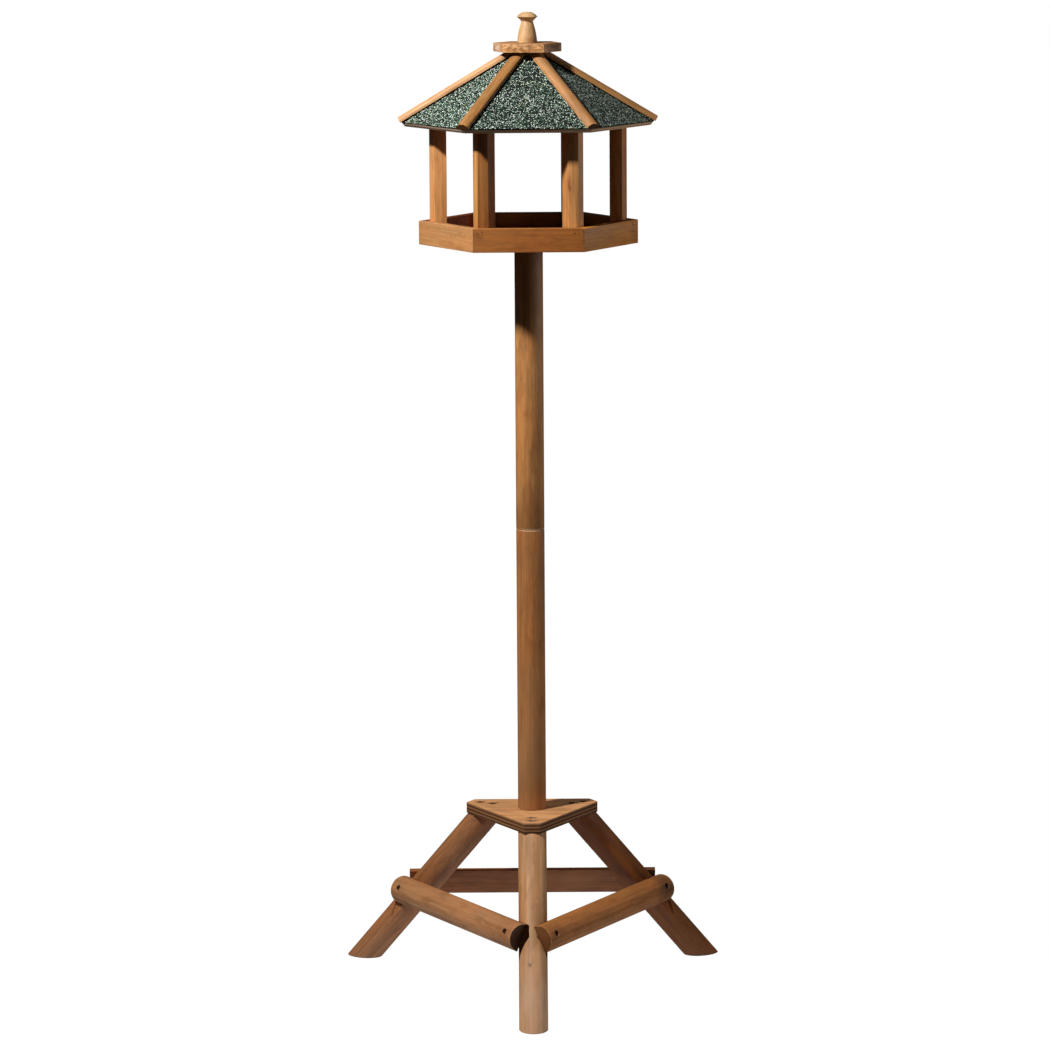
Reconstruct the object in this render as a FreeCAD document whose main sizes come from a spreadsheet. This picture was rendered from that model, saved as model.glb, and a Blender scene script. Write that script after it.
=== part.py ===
import FreeCAD, Part
import os
import re

import Sketcher

# Bird table on a three-legged stand, in millimetres.
# +Z is up and the front leg points along -Y.
# The origin is on the ground, under the middle of the three-footed footprint.
# The pole stands on the Y axis, behind the origin, because the front foot reaches further
# forward than the two rear feet reach back.

doc = FreeCAD.newDocument("BirdTable")
SIDES = 6
CORNER_STEP = 360 / SIDES
# Screws and nails have flat sides instead of round ones, so that so many stay light.
SCREW_SIDES = 12
NAIL_SIDES = 6


# Driving sizes: every one can be changed by itself.
DRIVING_SIZES = (
    ("pole_diameter", 40.0, "round rod of the two pole halves"),
    ("pole_length", 403.5, "each half of the pole"),
    ("pole_chamfer", 0.8, "broken edge at the pole ends"),
    ("plate_thickness", 15.0, "plywood plate on the legs"),
    ("plate_side", 212.0, "side of the full triangle before its corners are cut"),
    ("plate_corner_cut", 23.3, "length of each cut corner"),
    ("plate_corner_round", 3.0, "rounding where a cut corner meets a side"),
    ("plate_underside", 234.0, "height of the plate's underside over the ground"),
    ("leg_diameter", 40.0, "round rod of the legs"),
    ("leg_angle", 48.3, "angle of a leg from the ground, in degrees"),
    ("foot_radius", 284.0, "pole axis to the centre of a foot"),
    ("notch_depth", 4.0, "depth of the flat that a leg has for a brace"),
    ("brace_diameter", 40.0, "rod that is split to make the half-round braces"),
    ("brace_height", 107.0, "height of the middle of a brace's flat side"),
    ("back_brace_lift", 9.0, "how much higher the back brace sits"),
    ("front_brace_gap", 16.2, "right brace's front end to its corner of the braces' triangle"),
    ("left_brace_gap", 30.2, "the shorter left brace's front end to the same corner"),
    ("rear_brace_gap", 10.2, "rear end of a front brace to its corner"),
    ("back_brace_gap", 8.5, "each end of the back brace to its corner"),
    ("brace_end_gap", 2.0, "gap from a brace's end to the wall of its notch"),
    ("brace_edge_gap", 0.4, "gap over a brace's upper edge in its notch"),
    ("brace_screw_inset", 19.0, "brace end to the middle of its screw"),
    ("tray_across_flats", 266.0, "outside of the hexagonal tray"),
    ("tray_height", 33.0, "height of the tray's boards"),
    ("tray_board", 13.5, "thickness of the tray's boards"),
    ("floor_thickness", 12.0, "plywood floor, flush with the boards' lower edge"),
    ("post_width", 24.0, "width of a corner post"),
    ("post_depth", 24.0, "corner post from its outer ridge to its inner face"),
    ("eaves_rise", 138.3, "tray rim to the felt's lower edge"),
    ("roof_across_flats", 305.8, "outside of the felt's lower edge"),
    ("roof_slope", 34.6, "slope of a roof panel, in degrees"),
    ("panel_thickness", 6.0, "plywood roof panel"),
    ("felt_thickness", 2.0, "mineral roofing felt"),
    ("apex_opening", 40.0, "hexagonal opening at the top of the panels, across flats"),
    ("block_across_flats", 88.0, "block under the top of the roof"),
    ("block_edge", 10.0, "height of the block's upright sides"),
    ("batten_width", 18.0, "rounded strip over each hip"),
    ("batten_height", 8.0, "thickness of the strip at its middle"),
    ("batten_side", 3.5, "height of the strip's upright sides"),
    ("batten_overhang", 1.5, "strip past the roof corner, along the hip"),
    ("batten_top_radius", 26.0, "pole axis to the strip's upper end"),
    ("cap_thickness", 12.0, "block on the top of the roof"),
    ("cap_width", 96.0, "cap across its two side corners"),
    ("cap_depth", 80.0, "cap between its front and back faces"),
    ("cap_front", 57.0, "width of the cap's front face"),
    ("cap_turn", -7.6, "turn of the cap about the pole axis, in degrees"),
    ("cap_seat_gap", 0.2, "gap between the strips' upper ends and the cap"),
    ("knob_height", 42.3, "turned knob"),
    ("knob_base_diameter", 27.8, "knob at its foot"),
    ("knob_belly", 1.1, "how far the knob's flank bulges out of a straight line"),
    ("knob_neck_diameter", 16.2, "knob under its head"),
    ("knob_neck_height", 29.6, "foot of the knob to its neck"),
    ("knob_head_diameter", 29.4, "widest edge of the knob's head"),
    ("knob_head_height", 36.0, "foot of the knob to the widest edge of its head"),
    ("knob_top_diameter", 13.0, "flat at the top of the knob"),
    ("spigot_diameter", 8.0, "spigot turned on the foot of the knob"),
    ("spigot_in_block", 16.0, "spigot inside the block under the cap"),
    ("stud_diameter", 8.0, "steel studs of the pole"),
    ("stud_in_pole", 32.0, "stud inside a pole end"),
    ("screw_shank", 4.0, "wood screw"),
    ("screw_head", 8.0, "wood screw across its head"),
    ("screw_head_height", 2.4, "thickness of a wood screw's head"),
    ("screw_length", 42.0, "wood screw with its head"),
    ("screw_sink", 3.0, "how deep a screw's head lies in its hole"),
    ("sink_diameter", 9.6, "hole over a screw's head"),
    ("plate_screw_inner", 64.0, "pole axis to the inner screw of a plate corner"),
    ("plate_screw_outer", 84.0, "pole axis to the outer screw of a plate corner"),
    ("plate_screw_tilt", 30.0, "tilt of the plate's screws towards the legs, in degrees"),
    ("foot_screw_diameter", 6.0, "screw from under the plate into the pole"),
    ("foot_screw_head", 12.0, "the same screw across its head"),
    ("foot_screw_head_height", 3.0, "thickness of its head, let into the plate"),
    ("nail_diameter", 1.8, "nails of the tray"),
    ("nail_length", 20.0, "nails of the tray"),
    ("nail_near", 6.5, "tray corner to its near nail"),
    ("nail_far", 13.0, "tray corner to its far nail"),
    ("nail_drop", 7.0, "tray rim down to the nails"),
    ("nail_sink", 0.4, "how deep a nail lies under the surface"),
)

# Worked sizes: formulas of the driving sizes.
WORKED_SIZES = (
    ("foot_half", "leg_diameter / 2 / sin(leg_angle)"),
    ("front_reach", "foot_radius + foot_half"),
    ("back_reach", "foot_radius * sin(30)"
     " + sqrt(pow(foot_half * sin(30); 2) + pow(leg_diameter / 2 * cos(30); 2))"),
    ("pole_y", "(front_reach - back_reach) / 2"),
    ("plate_top", "plate_underside + plate_thickness"),
    ("pole_joint", "plate_top + pole_length"),
    ("tray_bottom", "pole_joint + pole_length"),
    ("tray_top", "tray_bottom + tray_height"),
    ("floor_top", "tray_bottom + floor_thickness"),
    ("tray_outer", "tray_across_flats / 2"),
    ("tray_inner", "tray_outer - tray_board"),
    ("post_tip", "tray_inner / cos(30)"),
    ("post_shoulder", "post_tip - post_width / 2 * tan(30)"),
    ("post_back", "post_tip - post_depth"),
    ("post_middle", "post_tip - post_depth / 2"),
    ("eaves", "tray_top + eaves_rise"),
    ("roof_outer", "roof_across_flats / 2"),
    ("roof_corner", "roof_outer / cos(30)"),
    ("roof_layers", "panel_thickness + felt_thickness"),
    ("hip_angle", "atan(tan(roof_slope) * cos(30)) / 1deg"),
    ("felt_peak", "eaves + roof_outer * tan(roof_slope)"),
    ("panel_peak", "felt_peak - felt_thickness / cos(roof_slope)"),
    ("under_peak", "felt_peak - roof_layers / cos(roof_slope)"),
    ("opening_half", "apex_opening / 2"),
    ("block_half", "block_across_flats / 2"),
    ("block_bottom", "under_peak - block_half * tan(roof_slope) - block_edge"),
    ("batten_foot_radius", "roof_corner + batten_overhang * cos(hip_angle)"),
    ("batten_foot_height", "eaves - batten_overhang * sin(hip_angle)"),
    ("batten_length", "(batten_foot_radius - batten_top_radius) / cos(hip_angle)"),
    ("batten_arc", "(pow(batten_width / 2; 2) + pow(batten_height - batten_side; 2))"
     " / 2 / (batten_height - batten_side)"),
    ("cap_bottom", "batten_foot_height + batten_length * sin(hip_angle)"
     " + batten_height * cos(hip_angle) + cap_seat_gap"),
    ("cap_top", "cap_bottom + cap_thickness"),
    ("spigot_length", "cap_thickness + spigot_in_block"),
    ("brace_tilt", "atan(0.5 / tan(leg_angle)) / 1deg"),
    ("flat_offset", "leg_diameter / 2 - notch_depth"),
    ("plate_inner_radius", "plate_side / 2 / sqrt(3)"),
    ("brace_screw_top", "brace_diameter / 2 - screw_sink"),
    ("notch_drop", "brace_diameter * 1.5"),
    ("notch_height", "notch_drop + brace_diameter / 2 + brace_edge_gap"),
    ("leg_spare", "leg_diameter"),
    ("slab_reach", "foot_radius * 2"),
    ("roof_reach", "roof_across_flats * 2"),
    ("sink_reach", "screw_sink * 4"),
    ("sector_reach", "roof_across_flats"),
)

ALIASES = {name: "Sizes" for name, _, _ in DRIVING_SIZES}
ALIASES.update({name: "Worked" for name, _ in WORKED_SIZES})


def bind(text):
    """Return a formula with the sheet's name put before each size's name."""
    return re.sub(r"[a-z][a-z_]+", lambda word: prefixed(word.group(0)), text)


def prefixed(word):
    """Return a size's full name, and any other word unchanged."""
    return ALIASES[word] + "." + word if word in ALIASES else word


def fill_sheets():
    """Write the driving sizes and the worked sizes into their two sheets."""
    sizes = doc.addObject("Spreadsheet::Sheet", "Sizes")
    for row, (name, value, note) in enumerate(DRIVING_SIZES, start=1):
        sizes.set("A%d" % row, name)
        sizes.set("B%d" % row, str(value))
        sizes.set("C%d" % row, note)
        sizes.setAlias("B%d" % row, name)
    doc.recompute()
    worked = doc.addObject("Spreadsheet::Sheet", "Worked")
    for row, (name, formula) in enumerate(WORKED_SIZES, start=1):
        worked.set("A%d" % row, name)
        worked.set("B%d" % row, "=" + bind(formula))
        worked.setAlias("B%d" % row, name)
    doc.recompute()
    return sizes


def value_of(formula):
    """Return the present value of a formula as a plain number."""
    result = SIZES.evalExpression(bind(formula))
    return float(getattr(result, "Value", result))


def place(item, x="0", y="0", z="0", yaw="0", pitch="0", roll="0"):
    """Bind an object's place and turn to formulas. X and Y are counted from the pole axis."""
    vector = "create(<<vector>>; %s; pole_y + %s; %s)" % (x, y, z)
    turn = "create(<<rotation>>; %s; %s; %s)" % (yaw, pitch, roll)
    item.setExpression("Placement", bind("create(<<placement>>; %s; %s)" % (vector, turn)))


def place_out(item, outward, sideways="0", z="0", azimuth=0, roll="0"):
    """Place an object at a distance outward from the pole, turned to an azimuth.

    At azimuth 0 outward is +Y and sideways is +X; the azimuth turns both about the pole.
    """
    turn = "(%g)" % azimuth
    x = "(%s) * cos(%s) - (%s) * sin(%s)" % (sideways, turn, outward, turn)
    y = "(%s) * sin(%s) + (%s) * cos(%s)" % (sideways, turn, outward, turn)
    place(item, x=x, y=y, z=z, yaw="%g" % azimuth, roll=roll)


def outline(body, plane_role, points, arcs=None):
    """Draw a closed outline in a body, each corner bound to two formulas.

    arcs maps the number of an edge to the formulas of a point on it, then "radius" or
    "centre" and the formula of the arc's radius or of its centre's first coordinate.
    """
    arcs = arcs or {}
    sketch = body.newObject("Sketcher::SketchObject", body.Name + "_outline")
    plane = [f for f in body.Origin.OriginFeatures if f.Role == plane_role][0]
    sketch.AttachmentSupport = (plane, [""])
    sketch.MapMode = "FlatFace"
    spots = [FreeCAD.Vector(value_of(x), value_of(y), 0) for x, y in points]
    count = len(points)
    ends = {}
    for edge in range(count):
        start, end = spots[edge], spots[(edge + 1) % count]
        if edge in arcs:
            middle_x, middle_y, kind, formula = arcs[edge]
            middle = FreeCAD.Vector(value_of(middle_x), value_of(middle_y), 0)
            arc = Part.Arc(start, middle, end)
            sketch.addGeometry(arc, False)
            # An arc is kept counterclockwise, so its first end may be the edge's second.
            forward = (sketch.Geometry[edge].StartPoint - start).Length < 1e-6
            ends[edge] = (1, 2) if forward else (2, 1)
            if kind == "radius":
                rule = Sketcher.Constraint("Radius", edge, value_of(formula))
            else:
                rule = Sketcher.Constraint("DistanceX", -1, 1, edge, 3, value_of(formula))
            number = sketch.addConstraint(rule)
            sketch.setExpression("Constraints[%d]" % number, bind(formula))
        else:
            sketch.addGeometry(Part.LineSegment(start, end), False)
            ends[edge] = (1, 2)
    for edge in range(count):
        following = (edge + 1) % count
        sketch.addConstraint(Sketcher.Constraint(
            "Coincident", edge, ends[edge][1], following, ends[following][0]))
    for edge, (x, y) in enumerate(points):
        for kind, formula, spot in (("DistanceX", x, spots[edge].x),
                                    ("DistanceY", y, spots[edge].y)):
            number = sketch.addConstraint(
                Sketcher.Constraint(kind, -1, 1, edge, ends[edge][0], spot))
            sketch.setExpression("Constraints[%d]" % number, bind(formula))
    return sketch


def padded(name, plane_role, points, length, arcs=None, both_ways=False):
    """Make a body by padding a closed outline."""
    body = doc.addObject("PartDesign::Body", name)
    sketch = outline(body, plane_role, points, arcs)
    pad = body.newObject("PartDesign::Pad", name + "_pad")
    pad.Profile = sketch
    pad.Midplane = both_ways
    pad.setExpression("Length", bind(length))
    return body


def turned(name, points, arcs=None):
    """Make a body by turning a half outline, drawn in X and Z, about the Z axis."""
    body = doc.addObject("PartDesign::Body", name)
    sketch = outline(body, "XZ_Plane", points, arcs)
    turning = body.newObject("PartDesign::Revolution", name + "_turning")
    turning.Profile = sketch
    turning.ReferenceAxis = (sketch, ["V_Axis"])
    turning.Angle = 360
    return body


def primitive(kind, name, **formulas):
    """Add a Part primitive with its sizes bound to formulas."""
    item = doc.addObject("Part::" + kind, name)
    for size, formula in formulas.items():
        item.setExpression(size, bind(formula))
    return item


def cut(name, base, *tools):
    """Cut tools out of a base."""
    tool = tools[0] if len(tools) == 1 else joined(name + "_tools", *tools)
    item = doc.addObject("Part::Cut", name)
    item.Base = base
    item.Tool = tool
    return item


def joined(name, *items):
    """Fuse several objects into one."""
    item = doc.addObject("Part::MultiFuse", name)
    item.Shapes = list(items)
    return item


def common(name, *items):
    """Keep what several objects share."""
    item = doc.addObject("Part::MultiCommon", name)
    item.Shapes = list(items)
    return item


def group(name, items):
    """Hold identical fasteners together as separate solids."""
    item = doc.addObject("Part::Compound", name)
    item.Links = list(items)
    return item


def rod(name, diameter, length, outward="0", sideways="0", z="0", azimuth=0, roll="0"):
    """Make a straight round rod or bore that starts at a point and runs along its own +Z."""
    item = primitive("Cylinder", name, Radius="(%s) / 2" % diameter, Height=length)
    place_out(item, outward, sideways, z, azimuth, roll)
    return item


def prism(name, sides, diameter, length, **spot):
    """Make a straight many-sided pin that starts at a point and runs along its own +Z."""
    item = primitive("Prism", name, Circumradius="(%s) / 2" % diameter, Height=length)
    item.Polygon = sides
    place_out(item, **spot)
    return item


def wood_screw(name, head, head_height, shank, length, **spot):
    """Make a flat-headed wood screw whose head starts at the spot and shank runs along +Z."""
    return joined(name, prism(name + "_head", SCREW_SIDES, head, head_height, **spot),
                  prism(name + "_shank", SCREW_SIDES, shank, length, **spot))


def small_screw(name, **spot):
    """Make one of the wood screws that hold plate, braces and posts."""
    return wood_screw(name, "screw_head", "screw_head_height", "screw_shank", "screw_length",
                      **spot)


def sink(name, outward, z, azimuth, roll, sideways="0"):
    """Make the bore over a wood screw's head, out to the side that the screw comes from."""
    return prism(name, SCREW_SIDES, "sink_diameter", "sink_reach",
                 outward="%s + sink_reach * sin(%s)" % (outward, roll), sideways=sideways,
                 z="%s - sink_reach * cos(%s)" % (z, roll), azimuth=azimuth, roll=roll)


SIZES = fill_sheets()
SUBPARTS = {}


def keep(name, item):
    """List an object as a sub-part under its own label."""
    item.Label = name
    SUBPARTS[name] = item
    return item


def make_poles():
    """Two turned pole halves, bored for the studs that join them, and the screw at the foot."""
    foot_screw = wood_screw("foot_screw", "foot_screw_head", "foot_screw_head_height",
                            "foot_screw_diameter", "plate_thickness + stud_in_pole",
                            outward="0", z="plate_underside")
    half = "pole_diameter / 2"
    bore = "stud_diameter / 2"
    upper_end = [
        (half, "pole_chamfer"),
        (half, "pole_length - pole_chamfer"),
        (half + " - pole_chamfer", "pole_length"),
        (bore, "pole_length"),
        (bore, "pole_length - stud_in_pole"),
        ("0", "pole_length - stud_in_pole"),
    ]
    lower_blank = turned("lower_pole_blank", [
        ("0", "0"), (half + " - pole_chamfer", "0")] + upper_end)
    place(lower_blank, z="plate_top")
    keep("lower_pole", cut("lower_pole", lower_blank, foot_screw))
    upper_pole = turned("upper_pole", [
        ("0", "stud_in_pole"), (bore, "stud_in_pole"), (bore, "0"),
        (half + " - pole_chamfer", "0")] + upper_end)
    place(upper_pole, z="pole_joint")
    keep("upper_pole", upper_pole)
    keep("pole_joint_stud", rod(
        "pole_joint_stud", "stud_diameter", "2 * stud_in_pole", z="pole_joint - stud_in_pole"))
    keep("house_stud", rod(
        "house_stud", "stud_diameter", "stud_in_pole + floor_thickness",
        z="tray_bottom - stud_in_pole"))
    return keep("foot_screw", foot_screw)


def make_plate(foot_screw, screw_holes):
    """Triangular plywood plate with cut and rounded corners."""
    inner = "plate_inner_radius"
    cut_back = "plate_corner_cut / 2"
    outer = "(2 * plate_inner_radius - plate_corner_cut * cos(30))"
    points = []
    for azimuth in (180, 300, 60):
        for side in ("-", ""):
            across = side + cut_back
            x = "%s * cos(%d) - %s * sin(%d)" % (across, azimuth, outer, azimuth)
            y = "%s * sin(%d) + %s * cos(%d)" % (across, azimuth, outer, azimuth)
            points.append((x, y))
    # Each corner is drawn from its far side to its near side, so the outline runs round.
    ordered = []
    for corner in range(3):
        ordered += [points[2 * corner + 1], points[2 * corner]]
    body = padded("plate_blank", "XY_Plane", ordered[::-1], "plate_thickness")
    doc.recompute()
    pad = body.Tip
    upright = ["Edge%d" % (number + 1) for number, edge in enumerate(pad.Shape.Edges)
               if abs(edge.Vertexes[0].Z - edge.Vertexes[-1].Z) > 1]
    rounding = body.newObject("PartDesign::Fillet", "plate_rounding")
    rounding.Base = (pad, upright)
    rounding.setExpression("Radius", bind("plate_corner_round"))
    place(body, z="plate_underside")
    keep("base_plate", cut("base_plate", body, foot_screw, *screw_holes))


def make_plate_screws():
    """Two screws and their sinks in each corner of the plate, tilted along the legs."""
    screws = []
    sinks = []
    for azimuth in (180, -60, 60):
        for place_name, radius in (("inner", "plate_screw_inner"), ("outer", "plate_screw_outer")):
            spot = dict(outward=radius + " + screw_sink * sin(plate_screw_tilt)",
                        z="plate_top - screw_sink * cos(plate_screw_tilt)", azimuth=azimuth,
                        roll="180 + plate_screw_tilt")
            tag = "%s_%d" % (place_name, azimuth % 360)
            screws.append(small_screw("plate_screw_" + tag, **spot))
            sinks.append(sink("plate_sink_" + tag, **spot))
    keep("plate_screws", group("plate_screws", screws))
    return screws + sinks


BRACES = (
    # name, azimuth, extra height, its gap at the end of its own -X side and at the +X side
    ("brace_back", 0, "back_brace_lift", "back_brace_gap", "back_brace_gap"),
    ("brace_left", 120, "0", "left_brace_gap", "rear_brace_gap"),
    ("brace_right", -120, "0", "rear_brace_gap", "front_brace_gap"),
)


def brace_frame(extra_height):
    """Return the formulas of the outward place and the height of a brace's flat side."""
    height = "(brace_height + %s)" % extra_height
    outward = "(foot_radius - %s / tan(leg_angle)) / 2 + flat_offset / cos(brace_tilt)" % height
    return outward, height


def make_braces():
    """Half-round braces with their screws, and the notches that they need in the legs."""
    notches = {}
    screws = []
    holes = {}
    for name, azimuth, extra_height, left_gap, right_gap in BRACES:
        outward, height = brace_frame(extra_height)
        # The flat sides of three equal braces would meet at the corners of a triangle.
        corner = "(%s) * tan(60)" % outward
        left_end = "(%s - %s)" % (left_gap, corner)
        right_end = "(%s - %s)" % (corner, right_gap)
        length = "(%s - %s)" % (right_end, left_end)
        middle = "(%s + %s) / 2" % (right_end, left_end)
        half = "brace_diameter / 2"
        blank = padded(name + "_blank", "YZ_Plane", [("0", "-" + half), ("0", half)], length,
                       arcs={0: (half, "0", "centre", "0")}, both_ways=True)
        place_out(blank, outward, middle, height, azimuth, "brace_tilt")
        # The notches are cut for a full brace, so the shorter left one leaves its own open.
        full_end = left_end.replace("left_brace_gap", "front_brace_gap")
        notch = primitive("Box", name + "_notch",
                          Length="%s - %s + 2 * brace_end_gap" % (right_end, full_end),
                          Width="brace_diameter",
                          Height="notch_height")
        place_out(notch, outward + " + notch_drop * sin(brace_tilt)",
                  full_end + " - brace_end_gap",
                  height + " - notch_drop * cos(brace_tilt)", azimuth, "brace_tilt")
        notches[name] = notch
        holes[name] = []
        for side, sideways in (("left", left_end + " + brace_screw_inset"),
                               ("right", right_end + " - brace_screw_inset")):
            # The screw runs inward, square to the flat side.
            spot = dict(outward="%s + brace_screw_top * cos(brace_tilt)" % outward,
                        sideways=sideways,
                        z="%s + brace_screw_top * sin(brace_tilt)" % height,
                        azimuth=azimuth, roll="brace_tilt + 90")
            screw = small_screw("%s_screw_%s" % (name, side), **spot)
            screws.append(screw)
            holes[name] += [screw, sink("%s_sink_%s" % (name, side), **spot)]
        keep(name, cut(name, blank, *holes[name]))
    keep("brace_screws", group("brace_screws", screws))
    return notches, holes


def make_legs(notches, brace_holes, plate_holes):
    """Three splayed round legs, cut level at both ends and notched for the braces."""
    slab = primitive("Box", "leg_slab", Length="2 * slab_reach", Width="2 * slab_reach",
                     Height="plate_underside")
    place(slab, x="-slab_reach", y="-slab_reach")
    legs = (("leg_front", 180, ("brace_left", "brace_right")),
            ("leg_left", 60, ("brace_left", "brace_back")),
            ("leg_right", -60, ("brace_right", "brace_back")))
    for name, azimuth, neighbours in legs:
        blank = rod(name + "_rod", "leg_diameter",
                    "plate_underside / sin(leg_angle) + 2 * leg_spare",
                    outward="foot_radius + leg_spare * cos(leg_angle)",
                    z="-leg_spare * sin(leg_angle)", azimuth=azimuth, roll="90 - leg_angle")
        level = common(name + "_level", blank, slab)
        tools = [notches[brace] for brace in neighbours]
        for brace in neighbours:
            tools += brace_holes[brace]
        keep(name, cut(name, level, *tools, *plate_holes))


def make_tray():
    """Six mitred tray boards, nailed at the corners, round a plywood floor."""
    nails = []
    nail_holes = []
    for number in range(SIDES):
        azimuth = (CORNER_STEP * number + 180) % 360
        for spot, inset in (("near", "nail_near"), ("far", "nail_far")):
            tag = "%s_%d" % (spot, number + 1)
            common_place = dict(sideways="%s - tray_outer * tan(30)" % inset,
                                z="tray_top - nail_drop", azimuth=azimuth, roll="90")
            nails.append(prism("nail_" + tag, NAIL_SIDES, "nail_diameter", "nail_length",
                               outward="tray_outer - nail_sink", **common_place))
            nail_holes.append(prism("nail_hole_" + tag, NAIL_SIDES, "nail_diameter",
                                    "nail_length + nail_sink",
                                    outward="tray_outer", **common_place))
    for number in range(SIDES):
        azimuth = (CORNER_STEP * number + 180) % 360
        blank = padded("tray_board_%d" % (number + 1), "XY_Plane", [
            ("-tray_outer * tan(30)", "tray_outer"),
            ("-tray_inner * tan(30)", "tray_inner"),
            ("tray_inner * tan(30)", "tray_inner"),
            ("tray_outer * tan(30)", "tray_outer"),
        ], "tray_height")
        place_out(blank, "0", z="tray_bottom", azimuth=azimuth)
        name = "tray_side_%d" % (number + 1)
        keep(name, cut(name, blank, *nail_holes))
    keep("tray_nails", group("tray_nails", nails))
    return nail_holes


def make_posts(under_roof, nail_holes):
    """Six corner posts, pointed outwards, cut to the roof and screwed to the floor."""
    screws = []
    screw_holes = []
    for number in range(SIDES):
        azimuth = CORNER_STEP * number + 150
        spot = dict(outward="post_middle", z="tray_bottom + screw_sink", azimuth=azimuth,
                    roll="0")
        screw = small_screw("post_screw_%d" % (number + 1), **spot)
        screws.append(screw)
        screw_holes += [screw, sink("post_sink_%d" % (number + 1), **spot)]
    for number in range(SIDES):
        azimuth = CORNER_STEP * number + 150
        blank = padded("post_blank_%d" % (number + 1), "XY_Plane", [
            ("0", "post_tip"),
            ("-post_width / 2", "post_shoulder"),
            ("-post_width / 2", "post_back"),
            ("post_width / 2", "post_back"),
            ("post_width / 2", "post_shoulder"),
        ], "under_peak - floor_top")
        place_out(blank, "0", z="floor_top", azimuth=azimuth)
        trimmed = common("post_trimmed_%d" % (number + 1), blank, under_roof)
        name = "post_%d" % (number + 1)
        keep(name, cut(name, trimmed, *nail_holes, *screw_holes))
    floor_blank = primitive("Prism", "floor_blank", Circumradius="tray_inner / cos(30)",
                            Height="floor_thickness")
    floor_blank.Polygon = SIDES
    place(floor_blank, z="tray_bottom")
    stud_bore = rod("floor_stud_bore", "stud_diameter", "floor_thickness", z="tray_bottom")
    keep("tray_floor", cut("tray_floor", floor_blank, stud_bore, *screw_holes))
    keep("post_screws", group("post_screws", screws))


def make_under_roof():
    """The six-sided pyramid of the space under the roof panels."""
    slopes = []
    for number in range(SIDES):
        slope = primitive("Box", "under_roof_slope_%d" % (number + 1), Length="2 * roof_reach",
                          Width="2 * roof_reach", Height="roof_reach")
        place_out(slope, "-roof_reach * (cos(roof_slope) + sin(roof_slope))", "-roof_reach",
                  "under_peak + roof_reach * (sin(roof_slope) - cos(roof_slope))",
                  CORNER_STEP * number, "-roof_slope")
        slopes.append(slope)
    return common("under_roof", *slopes)


def roof_layer(name, azimuth, lower_depth, upper_depth, lower_peak, upper_peak):
    """Make one sheet of a roof side between two depths under the felt's upper face.

    Its eaves edge is square to the slope, its upper end is upright and its sides are mitred.
    """
    def eaves_point(depth):
        return ("roof_outer - %s * sin(roof_slope)" % depth, "eaves - %s * cos(roof_slope)" % depth)

    sheet = padded(name + "_sheet", "YZ_Plane", [
        eaves_point(upper_depth),
        ("opening_half", upper_peak + " - opening_half * tan(roof_slope)"),
        ("opening_half", lower_peak + " - opening_half * tan(roof_slope)"),
        eaves_point(lower_depth),
    ], "2 * sector_reach", both_ways=True)
    place_out(sheet, "0", azimuth=azimuth)
    sector = padded(name + "_sector", "XY_Plane", [
        ("0", "0"),
        ("sector_reach * tan(30)", "sector_reach"),
        ("-sector_reach * tan(30)", "sector_reach"),
    ], "felt_peak")
    place_out(sector, "0", azimuth=azimuth)
    return common(name, sheet, sector)


def make_roof(under_roof):
    """Roof panels and felt, the strips over the hips and the block under the top."""
    for number in range(SIDES):
        azimuth = (CORNER_STEP * number + 180) % 360
        tag = "_%d" % (number + 1)
        keep("roof_panel" + tag, roof_layer("roof_panel" + tag, azimuth,
                                            "roof_layers", "felt_thickness",
                                            "under_peak", "panel_peak"))
        keep("roof_felt" + tag, roof_layer("roof_felt" + tag, azimuth,
                                           "felt_thickness", "0",
                                           "panel_peak", "felt_peak"))
        batten = padded("hip_batten" + tag, "XZ_Plane", [
            ("-batten_width / 2", "0"),
            ("batten_width / 2", "0"),
            ("batten_width / 2", "batten_side"),
            ("-batten_width / 2", "batten_side"),
        ], "batten_length", arcs={2: ("0", "batten_height", "radius", "batten_arc")})
        place_out(batten, "batten_foot_radius", z="batten_foot_height",
                  azimuth=(azimuth - CORNER_STEP / 2) % 360, roll="-hip_angle")
        keep("hip_batten" + tag, batten)
    wide = primitive("Prism", "block_wide", Circumradius="block_half / cos(30)",
                     Height="under_peak - block_bottom")
    wide.Polygon = SIDES
    place(wide, z="block_bottom")
    neck = primitive("Prism", "block_neck", Circumradius="opening_half / cos(30)",
                     Height="cap_bottom - block_bottom")
    neck.Polygon = SIDES
    place(neck, z="block_bottom")
    blank = joined("block_blank", common("block_skirt", wide, under_roof), neck)
    bore = rod("block_bore", "spigot_diameter", "spigot_in_block",
               z="cap_bottom - spigot_in_block")
    keep("roof_block", cut("roof_block", blank, bore))


def make_top():
    """Cap block and turned knob, whose spigot pins both to the block below."""
    front = "cap_depth / 2"
    blank = padded("cap_blank", "XY_Plane", [
        ("-cap_front / 2", "-" + front),
        ("cap_front / 2", "-" + front),
        ("cap_width / 2", "0"),
        ("cap_front / 2", front),
        ("-cap_front / 2", front),
        ("-cap_width / 2", "0"),
    ], "cap_thickness")
    place(blank, z="cap_bottom", yaw="cap_turn")
    bore = rod("cap_bore", "spigot_diameter", "cap_thickness", z="cap_bottom")
    keep("cap", cut("cap", blank, bore))
    knob = turned("knob", [
        ("0", "-spigot_length"),
        ("spigot_diameter / 2", "-spigot_length"),
        ("spigot_diameter / 2", "0"),
        ("knob_base_diameter / 2", "0"),
        ("(knob_base_diameter + knob_neck_diameter) / 4 + knob_belly", "knob_neck_height / 2"),
        ("knob_neck_diameter / 2", "knob_neck_height"),
        ("knob_head_diameter / 2", "knob_head_height"),
        ("knob_top_diameter / 2", "knob_height"),
        ("0", "knob_height"),
    ])
    place(knob, z="cap_top")
    keep("knob", knob)


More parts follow.
